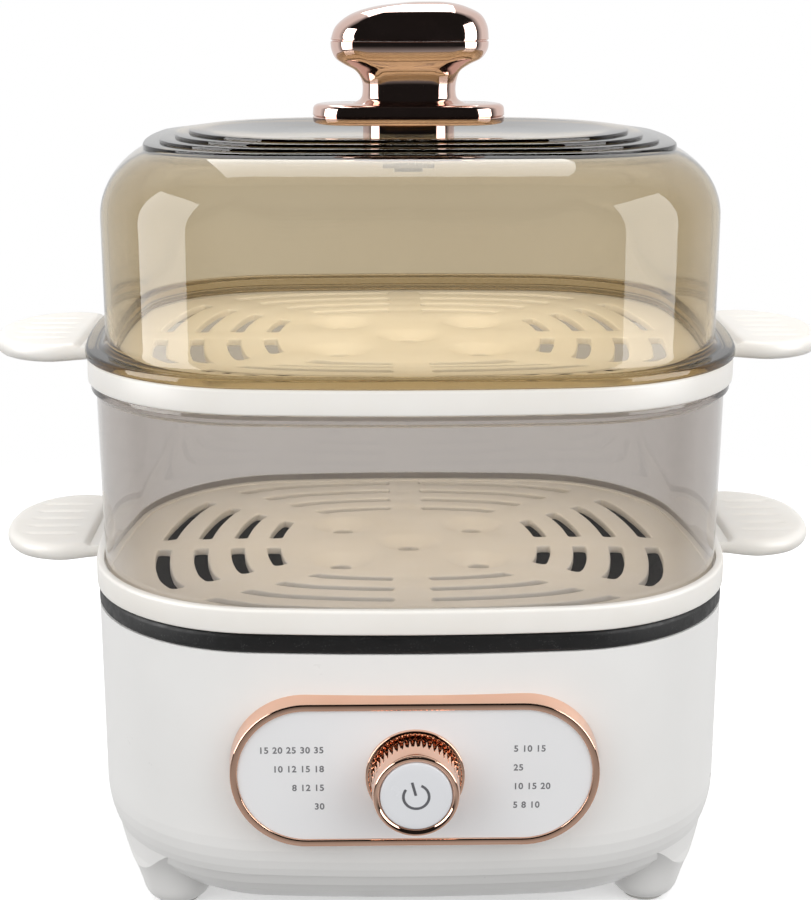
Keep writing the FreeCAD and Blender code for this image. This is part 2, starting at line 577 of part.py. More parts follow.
def sensor_spring():
    """Coil spring of tilted half turns that meet end to end."""
    low = DISH_FLOOR_Z + DISH_SHEET + HOLDER_FLOOR + SPRING_WIRE_R
    rise = SPRING_PITCH / 2.0
    turns = []
    for half_turn in range(2 * SPRING_TURNS):
        side = 1 if half_turn % 2 == 0 else -1
        start = Vec(side * SPRING_R, 0.0, low + rise * half_turn)
        centre = Vec(0.0, 0.0, start.z + rise / 2.0)
        wire = Part.Face(Part.Wire([Part.makeCircle(SPRING_WIRE_R, start, Y_AXIS)]))
        turns.append(wire.revolve(centre, Vec(side * rise / 2.0, 0.0, SPRING_R), 180.0))
    return turns[0].fuse(turns[1:]).removeSplitter()


def thermal_fuse():
    return cylinder(2.2, Vec(-7.0, -30.0, DISH_FLOOR_Z - 3.5), 14.0, X_AXIS)


def fuse_clip():
    centre = Vec(-2.5, -30.0, DISH_FLOOR_Z - 3.5)
    loop = tube(3.1, 2.3, centre, 5.0, X_AXIS)
    loop = loop.common(block((-5, 5), (-36, -24), (DISH_FLOOR_Z - 10.0, DISH_FLOOR_Z - 3.5)))
    tabs = []
    for side in (-1, 1):
        inner = -30.0 + side * 2.3
        outer = -30.0 + side * 3.1
        far = -30.0 + side * 8.0
        tabs.append(block((-2.5, 2.5), sorted((inner, outer)), (DISH_FLOOR_Z - 3.5, DISH_FLOOR_Z)))
        tabs.append(block((-2.5, 2.5), sorted((inner, far)), (DISH_FLOOR_Z - 0.8, DISH_FLOOR_Z)))
    return loop.fuse(tabs).removeSplitter()


# ---- power ------------------------------------------------------------------------------
def power_inlet():
    """Appliance inlet set flush into the back wall, with its cavity and a flange inside."""
    half_x, half_z = INLET_HALF
    back_y = BODY_HALF_Y - INLET_DEPTH
    case = block((-half_x, half_x), (back_y, BODY_HALF_Y - 0.6), (INLET_Z - half_z, INLET_Z + half_z))
    cavity = block((-half_x + 1.8, half_x - 1.8), (back_y + 3.0, BODY_HALF_Y + 1.0),
                   (INLET_Z - half_z + 1.8, INLET_Z + half_z - 1.8))
    ears = block((-25.0, 25.0), (BODY_HALF_Y - HOUSING_WALL - 2.6, BODY_HALF_Y - HOUSING_WALL - 0.6),
                 (INLET_Z - half_z, INLET_Z + half_z))
    case = case.fuse(ears).cut(cavity)
    for x in (-INLET_SCREW_X, INLET_SCREW_X):
        case = case.cut(cylinder(1.3, Vec(x, back_y, INLET_Z), INLET_DEPTH + 2.0, Y_AXIS))
    for x, z in INLET_PINS:
        slot = block((x - 1.0, x + 1.0), (back_y - 1.0, back_y + 4.0), (INLET_Z + z - 2.5, INLET_Z + z + 2.5))
        case = case.cut(slot)
    return case.removeSplitter()


def inlet_pin(x, z):
    back_y = BODY_HALF_Y - INLET_DEPTH
    middle = INLET_Z + z
    return block((x - 0.98, x + 0.98), (back_y - 6.0, back_y + 15.0), (middle - 2.48, middle + 2.48))


def inlet_screw(x):
    head = cylinder(2.8, Vec(x, BODY_HALF_Y + 0.02, INLET_Z), 0.9, Y_AXIS)
    shank = cylinder(1.3, Vec(x, BODY_HALF_Y - 9.0, INLET_Z), 9.1, Y_AXIS)
    return head.fuse(shank)


def power_board():
    board = block((-48.0, 48.0), (-28.0, 40.0), (BOARD_LEVEL, BOARD_LEVEL + BOARD_THICKNESS))
    return board.cut([cylinder(1.3, Vec(x, y, BOARD_LEVEL - 1.0), 4.0) for x, y in BOARD_POSTS])


def lead(points, radius=1.2):
    """Insulated wire along straight runs with round elbows."""
    pieces = []
    for start, end in zip(points, points[1:]):
        run = end - start
        pieces.append(cylinder(radius, start, run.Length, run))
    pieces += [Part.makeSphere(radius, elbow) for elbow in points[1:-1]]
    return pieces[0].fuse(pieces[1:]) if len(pieces) > 1 else pieces[0]


def heater_lead(side):
    x = side * ELEMENT_RING_R * math.sin(math.radians(ELEMENT_GAP_DEG / 2.0))
    y = ELEMENT_RING_R * math.cos(math.radians(ELEMENT_GAP_DEG / 2.0))
    return lead([Vec(x, y, BOARD_LEVEL + BOARD_THICKNESS), Vec(x, y, LEG_BOTTOM_Z - 8.0)])


def inlet_lead(side):
    pin_y = BODY_HALF_Y - INLET_DEPTH - 6.0
    z = INLET_Z - 2.0
    return lead([Vec(side * 7.0, pin_y, z), Vec(side * 7.0, 37.0, z),
                 Vec(side * 7.0, 37.0, BOARD_LEVEL + BOARD_THICKNESS)])


def transformer():
    core = block((-36.0, -12.0), (-14.0, 8.0), (BOARD_LEVEL + BOARD_THICKNESS, BOARD_LEVEL + 21.0))
    coil = block((-33.0, -15.0), (-18.0, 12.0), (BOARD_LEVEL + 4.0, BOARD_LEVEL + 18.0))
    return core.fuse(coil).removeSplitter()


def relay():
    return block((8.0, 27.0), (-14.0, 2.0), (BOARD_LEVEL + BOARD_THICKNESS, BOARD_LEVEL + 17.0))


def capacitor():
    return cylinder(6.0, Vec(36.0, 18.0, BOARD_LEVEL + BOARD_THICKNESS), 18.0)


# ---- pan ---------------------------------------------------------------------------------
def basin_levels(inset, floor_z, round_r, top_z):
    """Tapered basin wall that rounds into the floor."""
    taper_top = HOUSING_TOP - 1.0
    shoulder_z = floor_z + round_r
    foot = -PAN_FOOT_INSET - inset
    levels = []
    for step in range(5):
        angle = math.radians(90.0 - 22.5 * step)
        levels.append((shoulder_z - round_r * math.sin(angle), foot - round_r * (1.0 - math.cos(angle))))
    levels.append((taper_top, -PAN_WALL_INSET - inset))
    levels.append((top_z, -PAN_WALL_INSET - inset))
    return levels


def cooking_pan():
    bowl = stack(basin_levels(0.0, PAN_BOTTOM, PAN_EDGE_R, PAN_RIM_TOP - 3.2))
    rim = stack([(HOUSING_TOP, -0.9), (HOUSING_TOP + 0.9, 0.0), (PAN_RIM_TOP - 1.6, 0.0),
                 (PAN_RIM_TOP - 0.5, -0.5), (PAN_RIM_TOP, -1.6)])
    well = stack([(PAN_RIM_TOP - 3.2, -PAN_RIM_WIDTH), (PAN_RIM_TOP + 1.0, -PAN_RIM_WIDTH)])
    hollow = stack(basin_levels(PAN_WALL, PAN_BOTTOM + PAN_WALL, PAN_EDGE_R - 1.0, PAN_RIM_TOP))
    return bowl.fuse(rim).cut([hollow, well]).removeSplitter()


# ---- steaming trays ------------------------------------------------------------------------
def slot_ring(half, low, high):
    """One interrupted ring of steam slots, as a solid to cut away."""
    def square_ring(size):
        return loft([oval(z, size, size, 0.55 * size, 0.045 * size) for z in (low, high)])

    ring = square_ring(half).cut(square_ring(half - SLOT_WIDTH))
    bars = [block((-BRIDGE_HALF, BRIDGE_HALF), (-120, 120), (low, high)),
            block((-120, 120), (-BRIDGE_HALF, BRIDGE_HALF), (low, high))]
    for turn in (DIAGONAL_ANGLE, -DIAGONAL_ANGLE):
        bar = block((-150, 150), (-DIAGONAL_HALF, DIAGONAL_HALF), (low, high))
        bar.rotate(Vec(0, 0, 0), Z_AXIS, turn)
        bars.append(bar)
    return ring.cut(bars)


def ear_outline(z, grow):
    """Plan of a grip: wide near its tip and drawn in at its root."""
    stretch_x = 1.0 + grow / (EAR_TIP_X - EAR_ROOT_X)
    stretch_y = 1.0 + grow / EAR_HALF_Y
    near = [Vec(EAR_ROOT_X + (x - EAR_ROOT_X) * stretch_x, -y * stretch_y, z) for x, y in EAR_SIDE]
    tip = Vec(EAR_ROOT_X + (EAR_TIP_X - EAR_ROOT_X) * stretch_x, 0.0, z)
    far = [Vec(point.x, -point.y, z) for point in reversed(near)]
    curve = Part.BSplineCurve()
    curve.interpolate(near + [tip] + far)
    return Part.Wire([curve.toShape(), Part.LineSegment(far[-1], near[0]).toShape()])


def ear(base_z, side):
    """Flat paddle-shaped grip with shallow grooves across its top, relieved under the lid's brim."""
    low = base_z + EAR_LIFT
    high = low + EAR_THICKNESS
    ring_top = base_z + RING_HEIGHT
    levels = [(low, -1.8), (low + 1.2, -0.4), (low + 2.6, 0.0), (high - 2.2, 0.0), (high - 0.8, -0.7),
              (high, -2.2)]
    grip = loft([ear_outline(z, grow) for z, grow in levels])
    grooves = []
    for index in range(EAR_GROOVES):
        y = (index - (EAR_GROOVES - 1) / 2.0) * EAR_GROOVE_PITCH
        start = Vec(BODY_HALF_X + 9.0, y, high + 1.1)
        grooves.append(cylinder(1.6, start, EAR_TIP_X - BODY_HALF_X - 16.0, X_AXIS))
    root = stack([(low - 1.0, -RING_WALL_INSET + 1.0), (high + 1.0, -RING_WALL_INSET + 1.0)])
    relief = stack([(ring_top, BRIM_OVERHANG + 0.6), (high + 1.0, BRIM_OVERHANG + 0.6)])
    grip = grip.cut(grooves + [root, relief])
    if side < 0:
        grip.rotate(Vec(0, 0, 0), Z_AXIS, 180.0)
    return grip


def steaming_tray(base_z):
    """White ring, recessed perforated floor with five egg cups, and two ears."""
    top = base_z + RING_HEIGHT
    floor_top = top - FLOOR_DEPTH
    floor_low = floor_top - FLOOR_THICKNESS
    ring = stack([(base_z, RING_OVERHANG - 0.5), (base_z + 0.6, RING_OVERHANG), (top - 0.8, RING_OVERHANG),
                  (top, RING_OVERHANG - 0.8)])
    skirt = stack([(base_z - SKIRT_DROP, -SKIRT_OUT_INSET), (base_z + 0.5, -SKIRT_OUT_INSET)])
    tray = ring.fuse(skirt)
    tray = tray.cut(stack([(base_z - SKIRT_DROP - 1.0, -SKIRT_IN_INSET), (floor_low, -SKIRT_IN_INSET)]))
    tray = tray.cut(stack([(top - LEDGE_DEPTH, -RING_WALL_INSET), (top + 1.0, -RING_WALL_INSET)]))
    tray = tray.cut(stack([(floor_top, -SKIRT_IN_INSET), (top, -SKIRT_IN_INSET)]))
    sphere_r = (CUP_R ** 2 + CUP_DEPTH ** 2) / (2.0 * CUP_DEPTH)
    for x, y in [(0.0, 0.0)] + corners(CUP_PLACE, CUP_PLACE):
        centre = Vec(x, y, floor_top - CUP_DEPTH + sphere_r)
        shell_low = block((x - 20, x + 20), (y - 20, y + 20), (floor_low - 8.0, floor_low + 0.2))
        tray = tray.fuse(Part.makeSphere(sphere_r + FLOOR_THICKNESS - 0.3, centre).common(shell_low))
        tray = tray.cut(Part.makeSphere(sphere_r, centre))
        tray = tray.cut(cylinder(CUP_HOLE_R, Vec(x, y, floor_low - 10.0), 14.0))
    for index in range(SLOT_RINGS):
        half = SLOT_OUTER_HALF - SLOT_PITCH * index
        tray = tray.cut(slot_ring(half, floor_low - 1.0, floor_top + 1.0))
    for side in (-1, 1):
        tray = tray.fuse(ear(base_z, side))
    return tray.removeSplitter()


# ---- collar and lid --------------------------------------------------------------------------
def tier_collar():
    low = PAN_RIM_TOP + RING_HEIGHT - LEDGE_DEPTH
    high = PAN_RIM_TOP + TIER_PITCH
    lip = high - COLLAR_LIP_HEIGHT
    outer = stack([(low, -COLLAR_FOOT_INSET), (lip - 1.0, -COLLAR_HEAD_INSET), (lip, -COLLAR_LIP_INSET),
                   (high - 0.4, -COLLAR_LIP_INSET), (high, -COLLAR_LIP_INSET - 0.4)])
    inner = stack([(low - 1.0, -COLLAR_FOOT_INSET - CLEAR_WALL), (lip - 1.0, -COLLAR_HEAD_INSET - CLEAR_WALL),
                   (high + 1.0, -COLLAR_HEAD_INSET - CLEAR_WALL)])
    return outer.cut(inner)


def lid_levels(wall, top_z):
    """Upright wall that rounds over into the flat top."""
    radius = LID_ROUND_R - wall
    centre_inset = LID_WALL_INSET + LID_ROUND_R
    levels = []
    for step in range(LID_ROUND_STEPS + 1):
        angle = math.radians(90.0 * step / LID_ROUND_STEPS)
        height = (top_z - LID_ROUND_CENTRE_Z) * math.sin(angle)
        levels.append((LID_ROUND_CENTRE_Z + height, radius * math.cos(angle) - centre_inset))
    return levels


def lid_step_top(index):
    """Height of one of the nested steps in the lid's top, counted from the outermost."""
    return LID_SHOULDER_Z - 0.6 + LID_STEP_HEIGHT * (index + 1)


def lid_shell():
    brim_low = PAN_RIM_TOP + TIER_PITCH + RING_HEIGHT
    brim_high = brim_low + BRIM_HEIGHT
    brim = stack([(brim_low, BRIM_OVERHANG - 0.5), (brim_low + 0.6, BRIM_OVERHANG),
                  (brim_high - 1.0, BRIM_OVERHANG), (brim_high, BRIM_OVERHANG - 1.0)])
    lip = stack([(brim_low - LID_LIP_DROP, -LID_LIP_OUT_INSET), (brim_low + 0.5, -LID_LIP_OUT_INSET)])
    foot = [(brim_high - 0.5, -LID_WALL_INSET + 2.2), (brim_high + 0.8, -LID_WALL_INSET + 0.7),
            (brim_high + 2.4, -LID_WALL_INSET)]
    wall = stack(foot + lid_levels(0.0, LID_SHOULDER_Z))
    steps = [slab(half_x, half_y, 46.0, LID_SHOULDER_Z - 2.0, lid_step_top(index))
             for index, (half_x, half_y) in enumerate(LID_STEP_HALVES)]
    inner = stack([(brim_low - LID_LIP_DROP - 1.0, -LID_WALL_INSET - CLEAR_WALL)]
                  + lid_levels(CLEAR_WALL, LID_CEILING_Z))
    last_x, last_y = LID_STEP_HALVES[-1]
    top = lid_step_top(len(LID_STEP_HALVES) - 1)
    bow = 1.2
    dish = loft([oval(HANDLE_SEAT_Z, last_x - 26.0, last_y - 22.0, 24.0, bow),
                 oval(top + 0.2, last_x - 5.0, last_y - 5.0, 40.0, bow)])
    bolt = cylinder(LID_BOLT_R, Vec(0, 0, LID_CEILING_Z - 5.0), 20.0)
    return brim.fuse([lip, wall] + steps).cut([inner, dish, bolt]).removeSplitter()


# ---- handle ------------------------------------------------------------------------------------
def section(z, left, right, half_y):
    half_x = (right - left) / 2.0
    corner = 0.92 * min(half_x, half_y)
    return oval(z, half_x, half_y, corner, 0.03 * min(half_x, half_y), 0.0, (left + right) / 2.0)


def flange_section(z, inset):
    half_x, half_y = FLANGE_HALF
    return section(z, inset - half_x, half_x - inset, half_y - inset)


def handle_base():
    half_x, half_y = BOSS_HALF
    boss = loft([section(z, -half_x, half_x, half_y) for z in (HANDLE_SEAT_Z, HANDLE_SEAM_LOW - 2.0)])
    plate_low = HANDLE_SEAM_LOW - 2.7
    plate = loft([flange_section(plate_low, 1.2), flange_section(plate_low + 0.9, 0.2),
                  flange_section(HANDLE_SEAM_LOW, 0.0)])
    bore = cylinder(LID_BOLT_R - 0.4, Vec(0, 0, HANDLE_SEAT_Z - 1.0), 10.0)
    return boss.fuse(plate).cut(bore).removeSplitter()


def handle_body():
    flange = loft([flange_section(HANDLE_SEAM_LOW, 0.0), flange_section(FLANGE_TOP - 1.2, 0.3),
                   flange_section(FLANGE_TOP - 0.4, 1.0), flange_section(FLANGE_TOP, 2.2)])
    neck = loft([section(*row) for row in NECK_SECTIONS])
    head = loft([section(*row) for row in HEAD_LOW_SECTIONS])
    bore = cylinder(1.8, Vec(0, 0, HANDLE_SEAM_LOW - 1.0), 18.0)
    socket = slab(9.0, 6.0, 4.0, HANDLE_SEAM_HIGH - 5.0, HANDLE_SEAM_HIGH + 1.0)
    return flange.fuse([neck, head]).cut([bore, socket]).removeSplitter()


def handle_cap():
    head = loft([section(*row) for row in HEAD_HIGH_SECTIONS])
    peg = slab(8.9, 5.9, 3.95, HANDLE_SEAM_HIGH - 4.6, HANDLE_SEAM_HIGH + 0.5)
    return head.fuse(peg).removeSplitter()


def handle_gasket():
    return tube(9.0, 2.3, Vec(0, 0, LID_CEILING_Z - GASKET_THICKNESS), GASKET_THICKNESS)


def handle_screw():
    head_top = LID_CEILING_Z - GASKET_THICKNESS
    head = cylinder(5.0, Vec(0, 0, head_top - 3.0), 3.0)
    shank = cylinder(1.75, Vec(0, 0, head_top), 24.0)
    drive = block((-3.2, 3.2), (-0.5, 0.5), (head_top - 3.1, head_top - 1.4))
    return head.fuse(shank).cut(drive)


def sub_parts():
    """Every node of the model, by name."""
    nodes = {"base_housing": base_housing(), "bottom_cover": bottom_cover()}
    for index, (x, y) in enumerate(corners(FOOT_X, FOOT_Y), 1):
        nodes[f"foot_pad_{index}"] = foot_pad(x, y)
        nodes[f"cover_screw_{index}"] = cover_screw(x, y)
    nodes.update(control_panel=control_panel(), panel_trim=panel_trim(), knob_bezel=knob_bezel(),
                 control_board=control_board(), board_bracket=board_bracket(),
                 encoder_body=encoder_body(), encoder_nut=encoder_nut(), encoder_rotor=encoder_rotor(),
                 encoder_shaft=encoder_shaft(), knob_shell=knob_shell(), knob_cap=knob_cap())
    nodes["indicator_leds"] = Part.makeCompound([indicator_led(index) for index in range(8)])
    for index, side in enumerate((-1, 1), 1):
        nodes[f"board_screw_{index}"] = board_screw(side * 42.0)
        nodes[f"element_terminal_{index}"] = element_terminal(side)
        nodes[f"heater_lead_{index}"] = heater_lead(side)
        nodes[f"inlet_lead_{index}"] = inlet_lead(side)
        nodes[f"inlet_screw_{index}"] = inlet_screw(side * INLET_SCREW_X)
    nodes["dish_screws"] = Part.makeCompound([dish_screw(angle) for angle in COLUMN_ANGLES])
    nodes["plate_screws"] = Part.makeCompound([plate_screw(angle) for angle in COLUMN_ANGLES])
    nodes["inlet_pins"] = Part.makeCompound([inlet_pin(x, z) for x, z in INLET_PINS])
    nodes.update(heating_plate=heating_plate(), heating_element=element_ring(ELEMENT_R),
                 reflector_dish=reflector_dish(), sensor_holder=sensor_holder(), sensor_cap=sensor_cap(),
                 sensor_spring=sensor_spring(), thermal_fuse=thermal_fuse(), fuse_clip=fuse_clip(),
                 power_inlet=power_inlet(), power_board=power_board(), transformer=transformer(),
                 relay=relay(), capacitor=capacitor())
    nodes.update(cooking_pan=cooking_pan(), lower_tray=steaming_tray(PAN_RIM_TOP), tier_collar=tier_collar(),
                 upper_tray=steaming_tray(PAN_RIM_TOP + TIER_PITCH), lid_shell=lid_shell(),
                 handle_base=handle_base(), handle_body=handle_body(), handle_cap=handle_cap(),
                 handle_gasket=handle_gasket(), handle_screw=handle_screw())
    return nodes


def main():
    os.makedirs("parts", exist_ok=True)
    for name, shape in sub_parts().items():
        shape.translate(Vec(0, -ORIGIN_Y, 0))
        shape.exportStep(f"parts/{name}.step")
        print(f"{name}: {len(shape.Solids)} solid, {shape.Volume / 1000.0:.1f} cm3, valid {shape.isValid()}")


main()
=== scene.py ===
"""Looks of the two-tier egg cooker, in metres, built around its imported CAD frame."""
import bmesh
import bpy
import json
import math
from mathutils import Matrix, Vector
from mathutils.geometry import delaunay_2d_cdt


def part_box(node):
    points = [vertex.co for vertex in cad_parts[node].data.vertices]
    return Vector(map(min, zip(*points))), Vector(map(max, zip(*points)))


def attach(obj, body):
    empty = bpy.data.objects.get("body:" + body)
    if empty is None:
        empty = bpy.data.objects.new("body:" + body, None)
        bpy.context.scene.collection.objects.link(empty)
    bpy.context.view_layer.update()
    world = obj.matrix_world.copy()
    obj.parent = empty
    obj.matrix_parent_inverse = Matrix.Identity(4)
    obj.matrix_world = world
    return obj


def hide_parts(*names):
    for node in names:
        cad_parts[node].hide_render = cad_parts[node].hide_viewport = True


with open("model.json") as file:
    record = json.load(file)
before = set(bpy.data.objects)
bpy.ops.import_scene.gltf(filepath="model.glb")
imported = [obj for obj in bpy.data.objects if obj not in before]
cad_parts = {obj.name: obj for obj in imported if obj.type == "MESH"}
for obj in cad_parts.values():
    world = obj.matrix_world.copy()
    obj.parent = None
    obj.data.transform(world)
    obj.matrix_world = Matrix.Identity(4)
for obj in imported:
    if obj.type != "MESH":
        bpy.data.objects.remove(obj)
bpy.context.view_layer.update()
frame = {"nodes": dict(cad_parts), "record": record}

# ---- places taken from the frame ----
COLLAR_LOW, COLLAR_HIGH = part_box("tier_collar")
LID_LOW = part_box("lid_shell")[0]
PAN_LOW, PAN_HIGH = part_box("cooking_pan")
TRIM_LOW, TRIM_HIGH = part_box("panel_trim")
PANEL_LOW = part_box("control_panel")[0]
BEZEL_LOW, BEZEL_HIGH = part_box("knob_bezel")
KNOB_LOW, KNOB_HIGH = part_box("knob_shell")
CAP_LOW, CAP_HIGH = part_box("knob_cap")
HANDLE_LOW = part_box("handle_body")[0]
HEAD_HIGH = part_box("handle_cap")[1]
BOSS_LOW, BOSS_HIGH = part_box("handle_base")
CENTRE_Y = (COLLAR_LOW.y + COLLAR_HIGH.y) / 2.0

# ---- footprint of the body: eight tangent arcs ----
BODY = (0.110, 0.0978, 0.062, 0.002)   # half x, half y, corner radius, bow of the sides
SIDE_STEPS = 8
CORNER_STEPS = 20
FRONT_STEPS = 12
FILLET_STEPS = 4
SHARP_EDGE = 32.0           # degrees; shading breaks at steeper edges

# ---- pan and trays ----
PAN_RIM_TOP = PAN_HIGH.z
PAN_RIM_LOW = PAN_RIM_TOP - 0.0067
PAN_RIM_WIDTH = 0.0042
PAN_WALL_INSET = 0.005
PAN_FOOT_INSET = 0.016
PAN_WALL = 0.002
PAN_EDGE_R = 0.009
PAN_CURVE_R = PAN_EDGE_R * 0.6
PAN_FLOOR_INSET = 0.060
PAN_SEAT_DEPTH = 0.0032
RING_HEIGHT = 0.0082
TIER_PITCH = COLLAR_HIGH.z - PAN_RIM_TOP
RING_OVERHANG = 0.0006
RING_WALL_INSET = 0.0021
SKIRT_OUT_INSET = 0.0046
SKIRT_IN_INSET = 0.0066
SKIRT_DROP = 0.0024
LEDGE_DEPTH = 0.002
FLOOR_DEPTH = 0.0025
FLOOR_THICKNESS = 0.0025
FLOOR_OVERLAP = 0.0002     # of the floor into the skirt
SLOT_OUTER_HALF = 0.0905
SLOT_PITCH = 0.013
SLOT_WIDTH = 0.0048
SLOT_RINGS = 4
SLOT_ROUND = 0.0017
SLOT_BEVEL = 0.0006
SLOT_RING_CORNER = 0.55    # shares of a slot ring's half width
SLOT_RING_BOW = 0.045
SLOT_SPLITS = 4            # short chords drawn between two points of an outline
SHARP_TURN = math.radians(150.0)
BRIDGE_HALF = 0.0057
DIAGONAL_HALF = 0.0083
DIAGONAL_ANGLE = math.radians(43.0)
CUP_PLACE = 0.0243
CUP_R = 0.0125
CUP_DEPTH = 0.003
CUP_HOLE_R = 0.0036
CUP_RINGS = 6
CUP_POINTS = 36
EAR_TIP_X = 0.1455
EAR_ROOT_X = 0.1084
EAR_SIDE = ((0.1084, 0.0281), (0.113, 0.0295), (0.124, 0.033), (0.1355, 0.028), (0.1432, 0.016))
EAR_HALF = 0.033
EAR_STEPS = 8
EAR_THICKNESS = 0.006
EAR_UNDER = ((0.0, -0.0022), (0.0004, -0.0012), (0.0012, -0.0004), (0.0026, 0.0))   # height, growth
EAR_OVER = ((0.0022, 0.0), (0.0012, -0.0003), (0.0004, -0.0011), (0.0, -0.0024))    # depth, growth
EAR_GRID_START = (0.1090, -0.0320)
EAR_GRID_PITCH = (0.0012, 0.00085)
EAR_GRID_COUNT = (31, 76)
EAR_GRID_CLEAR = 0.0006    # between the grid and the edge
EAR_LIFT = 0.0034
EAR_GROOVES = 5
EAR_GROOVE_PITCH = 0.009
EAR_GROOVE_HALF = 0.0017
EAR_GROOVE_DEPTH = 0.0006
EAR_GROOVE_START = (0.1185, 0.1215)
EAR_GROOVE_END = (0.1345, 0.1385)
EAR_RELIEF_X = 0.1122      # inside this the grip stays below the lid's brim
EAR_RELIEF_DROP = 0.0003
EAR_RELIEF_RISE = 0.0016
EAR_RELIEF_RUN = 0.0025

# ---- clear collar and lid ----
CLEAR_WALL = 0.0022
ABSORPTION_DENSITY = 160.0  # per metre
SEAT_GAP = 0.00012         # air between a clear shell and the tray it sits on
COLLAR_FOOT_INSET = 0.0026
COLLAR_HEAD_INSET = 0.002
COLLAR_LIP_INSET = 0.0003
COLLAR_LIP_HEIGHT = 0.0027
BRIM_OVERHANG = 0.0012
BRIM_HEIGHT = 0.0032
BRIM_FOOT = 0.0012          # of the soft hollow between the brim and the wall
BRIM_FOOT_HEIGHT = 0.0026
LID_LIP_INSET = 0.0026
LID_LIP_DROP = 0.0016
LID_WALL_INSET = 0.0057
LID_ROUND_R = 0.023
LID_ROUND_CENTRE_Z = LID_LOW.z + 0.0473
LID_SHOULDER_Z = LID_LOW.z + 0.0697
LID_ROUND_STEPS = 12
LID_STEP_HALVES = ((0.0902, 0.070), (0.0854, 0.064), (0.0806, 0.058), (0.076, 0.052))
LID_STEP_CORNER = 0.046
LID_STEP_BOW = 0.0012
LID_STEP_HEIGHT = 0.00095
LID_STEP_EDGE = 0.0003
LID_STEP_SINK = 0.0006
LID_BOLT_R = 0.0032
DISH_HALF = (0.050, 0.030)
DISH_CORNER = 0.024
DISH_RIM_HALF = (0.0685, 0.045)
DISH_RIM_CORNER = 0.038

# ---- handle: (z, left x, right x, half y) from the flange's top upwards ----
FLANGE_HALF = (0.0332, 0.015)
BOSS_HALF = (0.0159, 0.0105)
SEAM_GAP = 0.00012
SEAM_BEVEL = 0.00042
PLATE_THICKNESS = 0.0027
PLATE_EDGE = ((0.0, 0.0014), (0.0003, 0.0006), (0.0009, 0.0002))   # height, inset
FLANGE_EDGE = ((0.0014, 0.0002), (0.0007, 0.0006), (0.0002, 0.0014), (0.0, 0.0024))   # depth, inset
NECK = ((0.2704, -0.0195, 0.0198, 0.0120), (0.2720, -0.0166, 0.0169, 0.0102),
        (0.2750, -0.0159, 0.0162, 0.0098), (0.2784, -0.0163, 0.0166, 0.0099),
        (0.2814, -0.0184, 0.0179, 0.0106), (0.2836, -0.0224, 0.0212, 0.0118),
        (0.2856, -0.0252, 0.0251, 0.0128), (0.2887, -0.0266, 0.0272, 0.0136),
        (0.2916, -0.0268, 0.0275, 0.0138))
HEAD = ((0.2916, -0.0268, 0.0275, 0.0138), (0.2963, -0.0250, 0.0270, 0.0132),
        (0.3003, -0.0198, 0.0246, 0.0114), (0.3028, -0.0119, 0.0196, 0.0084),
        (0.3040, -0.0030, 0.0150, 0.0050), (0.3044, 0.0020, 0.0110, 0.0026),
        (0.3044, 0.0060, 0.0070, 0.0004))
SECTION_STEPS = 5          # smooth levels drawn between two rows of a table
SECTION_CORNER = 0.92      # shares of a section's smaller half width
SECTION_BOW = 0.03

# ---- panel and knob ----
PANEL_Z = (TRIM_LOW.z + TRIM_HIGH.z) / 2.0
TRIM_HALF = (0.059, 0.0245)
TRIM_WIDTH = 0.0023
TRIM_FLARE = 0.0008
TRIM_DEPTH = 0.0086
STADIUM_STEPS = 40
KNOB_X = (KNOB_LOW.x + KNOB_HIGH.x) / 2.0
KNOB_Z = (KNOB_LOW.z + KNOB_HIGH.z) / 2.0
TURNED_POINTS = 128
BEZEL_WIDTH = 0.00125
BEZEL_WEB = 0.0004
BEZEL_BORE_R = 0.0085
KNOB_RING_INSET = 0.0005
KNOB_BEVEL = 0.0010
KNOB_RECESS = 0.0028        # depth of the seat that the cap lies in
KNOB_WEB = (0.0035, 0.0045)  # front and back of the web round the shaft
KNOB_BORE_R = 0.0052
KNURL_START = 0.0026
KNURL_END = 0.0003
KNURL_TAPER = 0.0004
KNURL_STEPS = 10
CAP_GAP = 0.00005
KNOB_TEETH = 48
KNOB_TOOTH_POINTS = 8
KNOB_TOOTH_DEPTH = 0.0007
PRINT_HEIGHT = 0.00004
SYMBOL_R = 0.0040
SYMBOL_HALF = 0.00042
SYMBOL_BAR = (0.0004, 0.0050)
SYMBOL_TILT = math.radians(15.0)
SYMBOL_GAP = 38.0           # degrees left open on each side of the bar
SYMBOL_STEPS = 48
LABEL_HEIGHT = 0.0030
LABEL_WEIGHT = 0.00007
LABEL_SPACING = 1.12
LABEL_COLUMN_X = (-0.0290, 0.0314)
LABEL_ROWS_Z = (0.0087, 0.0022, -0.0043, -0.0108)   # above and below the panel's middle
LABEL_LEFT = ("15 20 25 30 35", "10 12 15 18", "8 12 15", "30")
LABEL_RIGHT = ("5 10 15", "25", "10 15 20", "5 8 10")


# ---- outlines ----
def tangents(shape):
    """Centre of an oval's corner arc, and how far beyond the middle its side and front arcs are centred."""
    half_x, half_y, corner, bow = shape
    cx = half_x - corner - bow
    cy = half_y - corner - bow
    side = (cx * cx + cy * cy - (half_x - corner) ** 2) / (2.0 * bow)
    front = (cx * cx + cy * cy - (half_y - corner) ** 2) / (2.0 * bow)
    return cx, cy, side, front


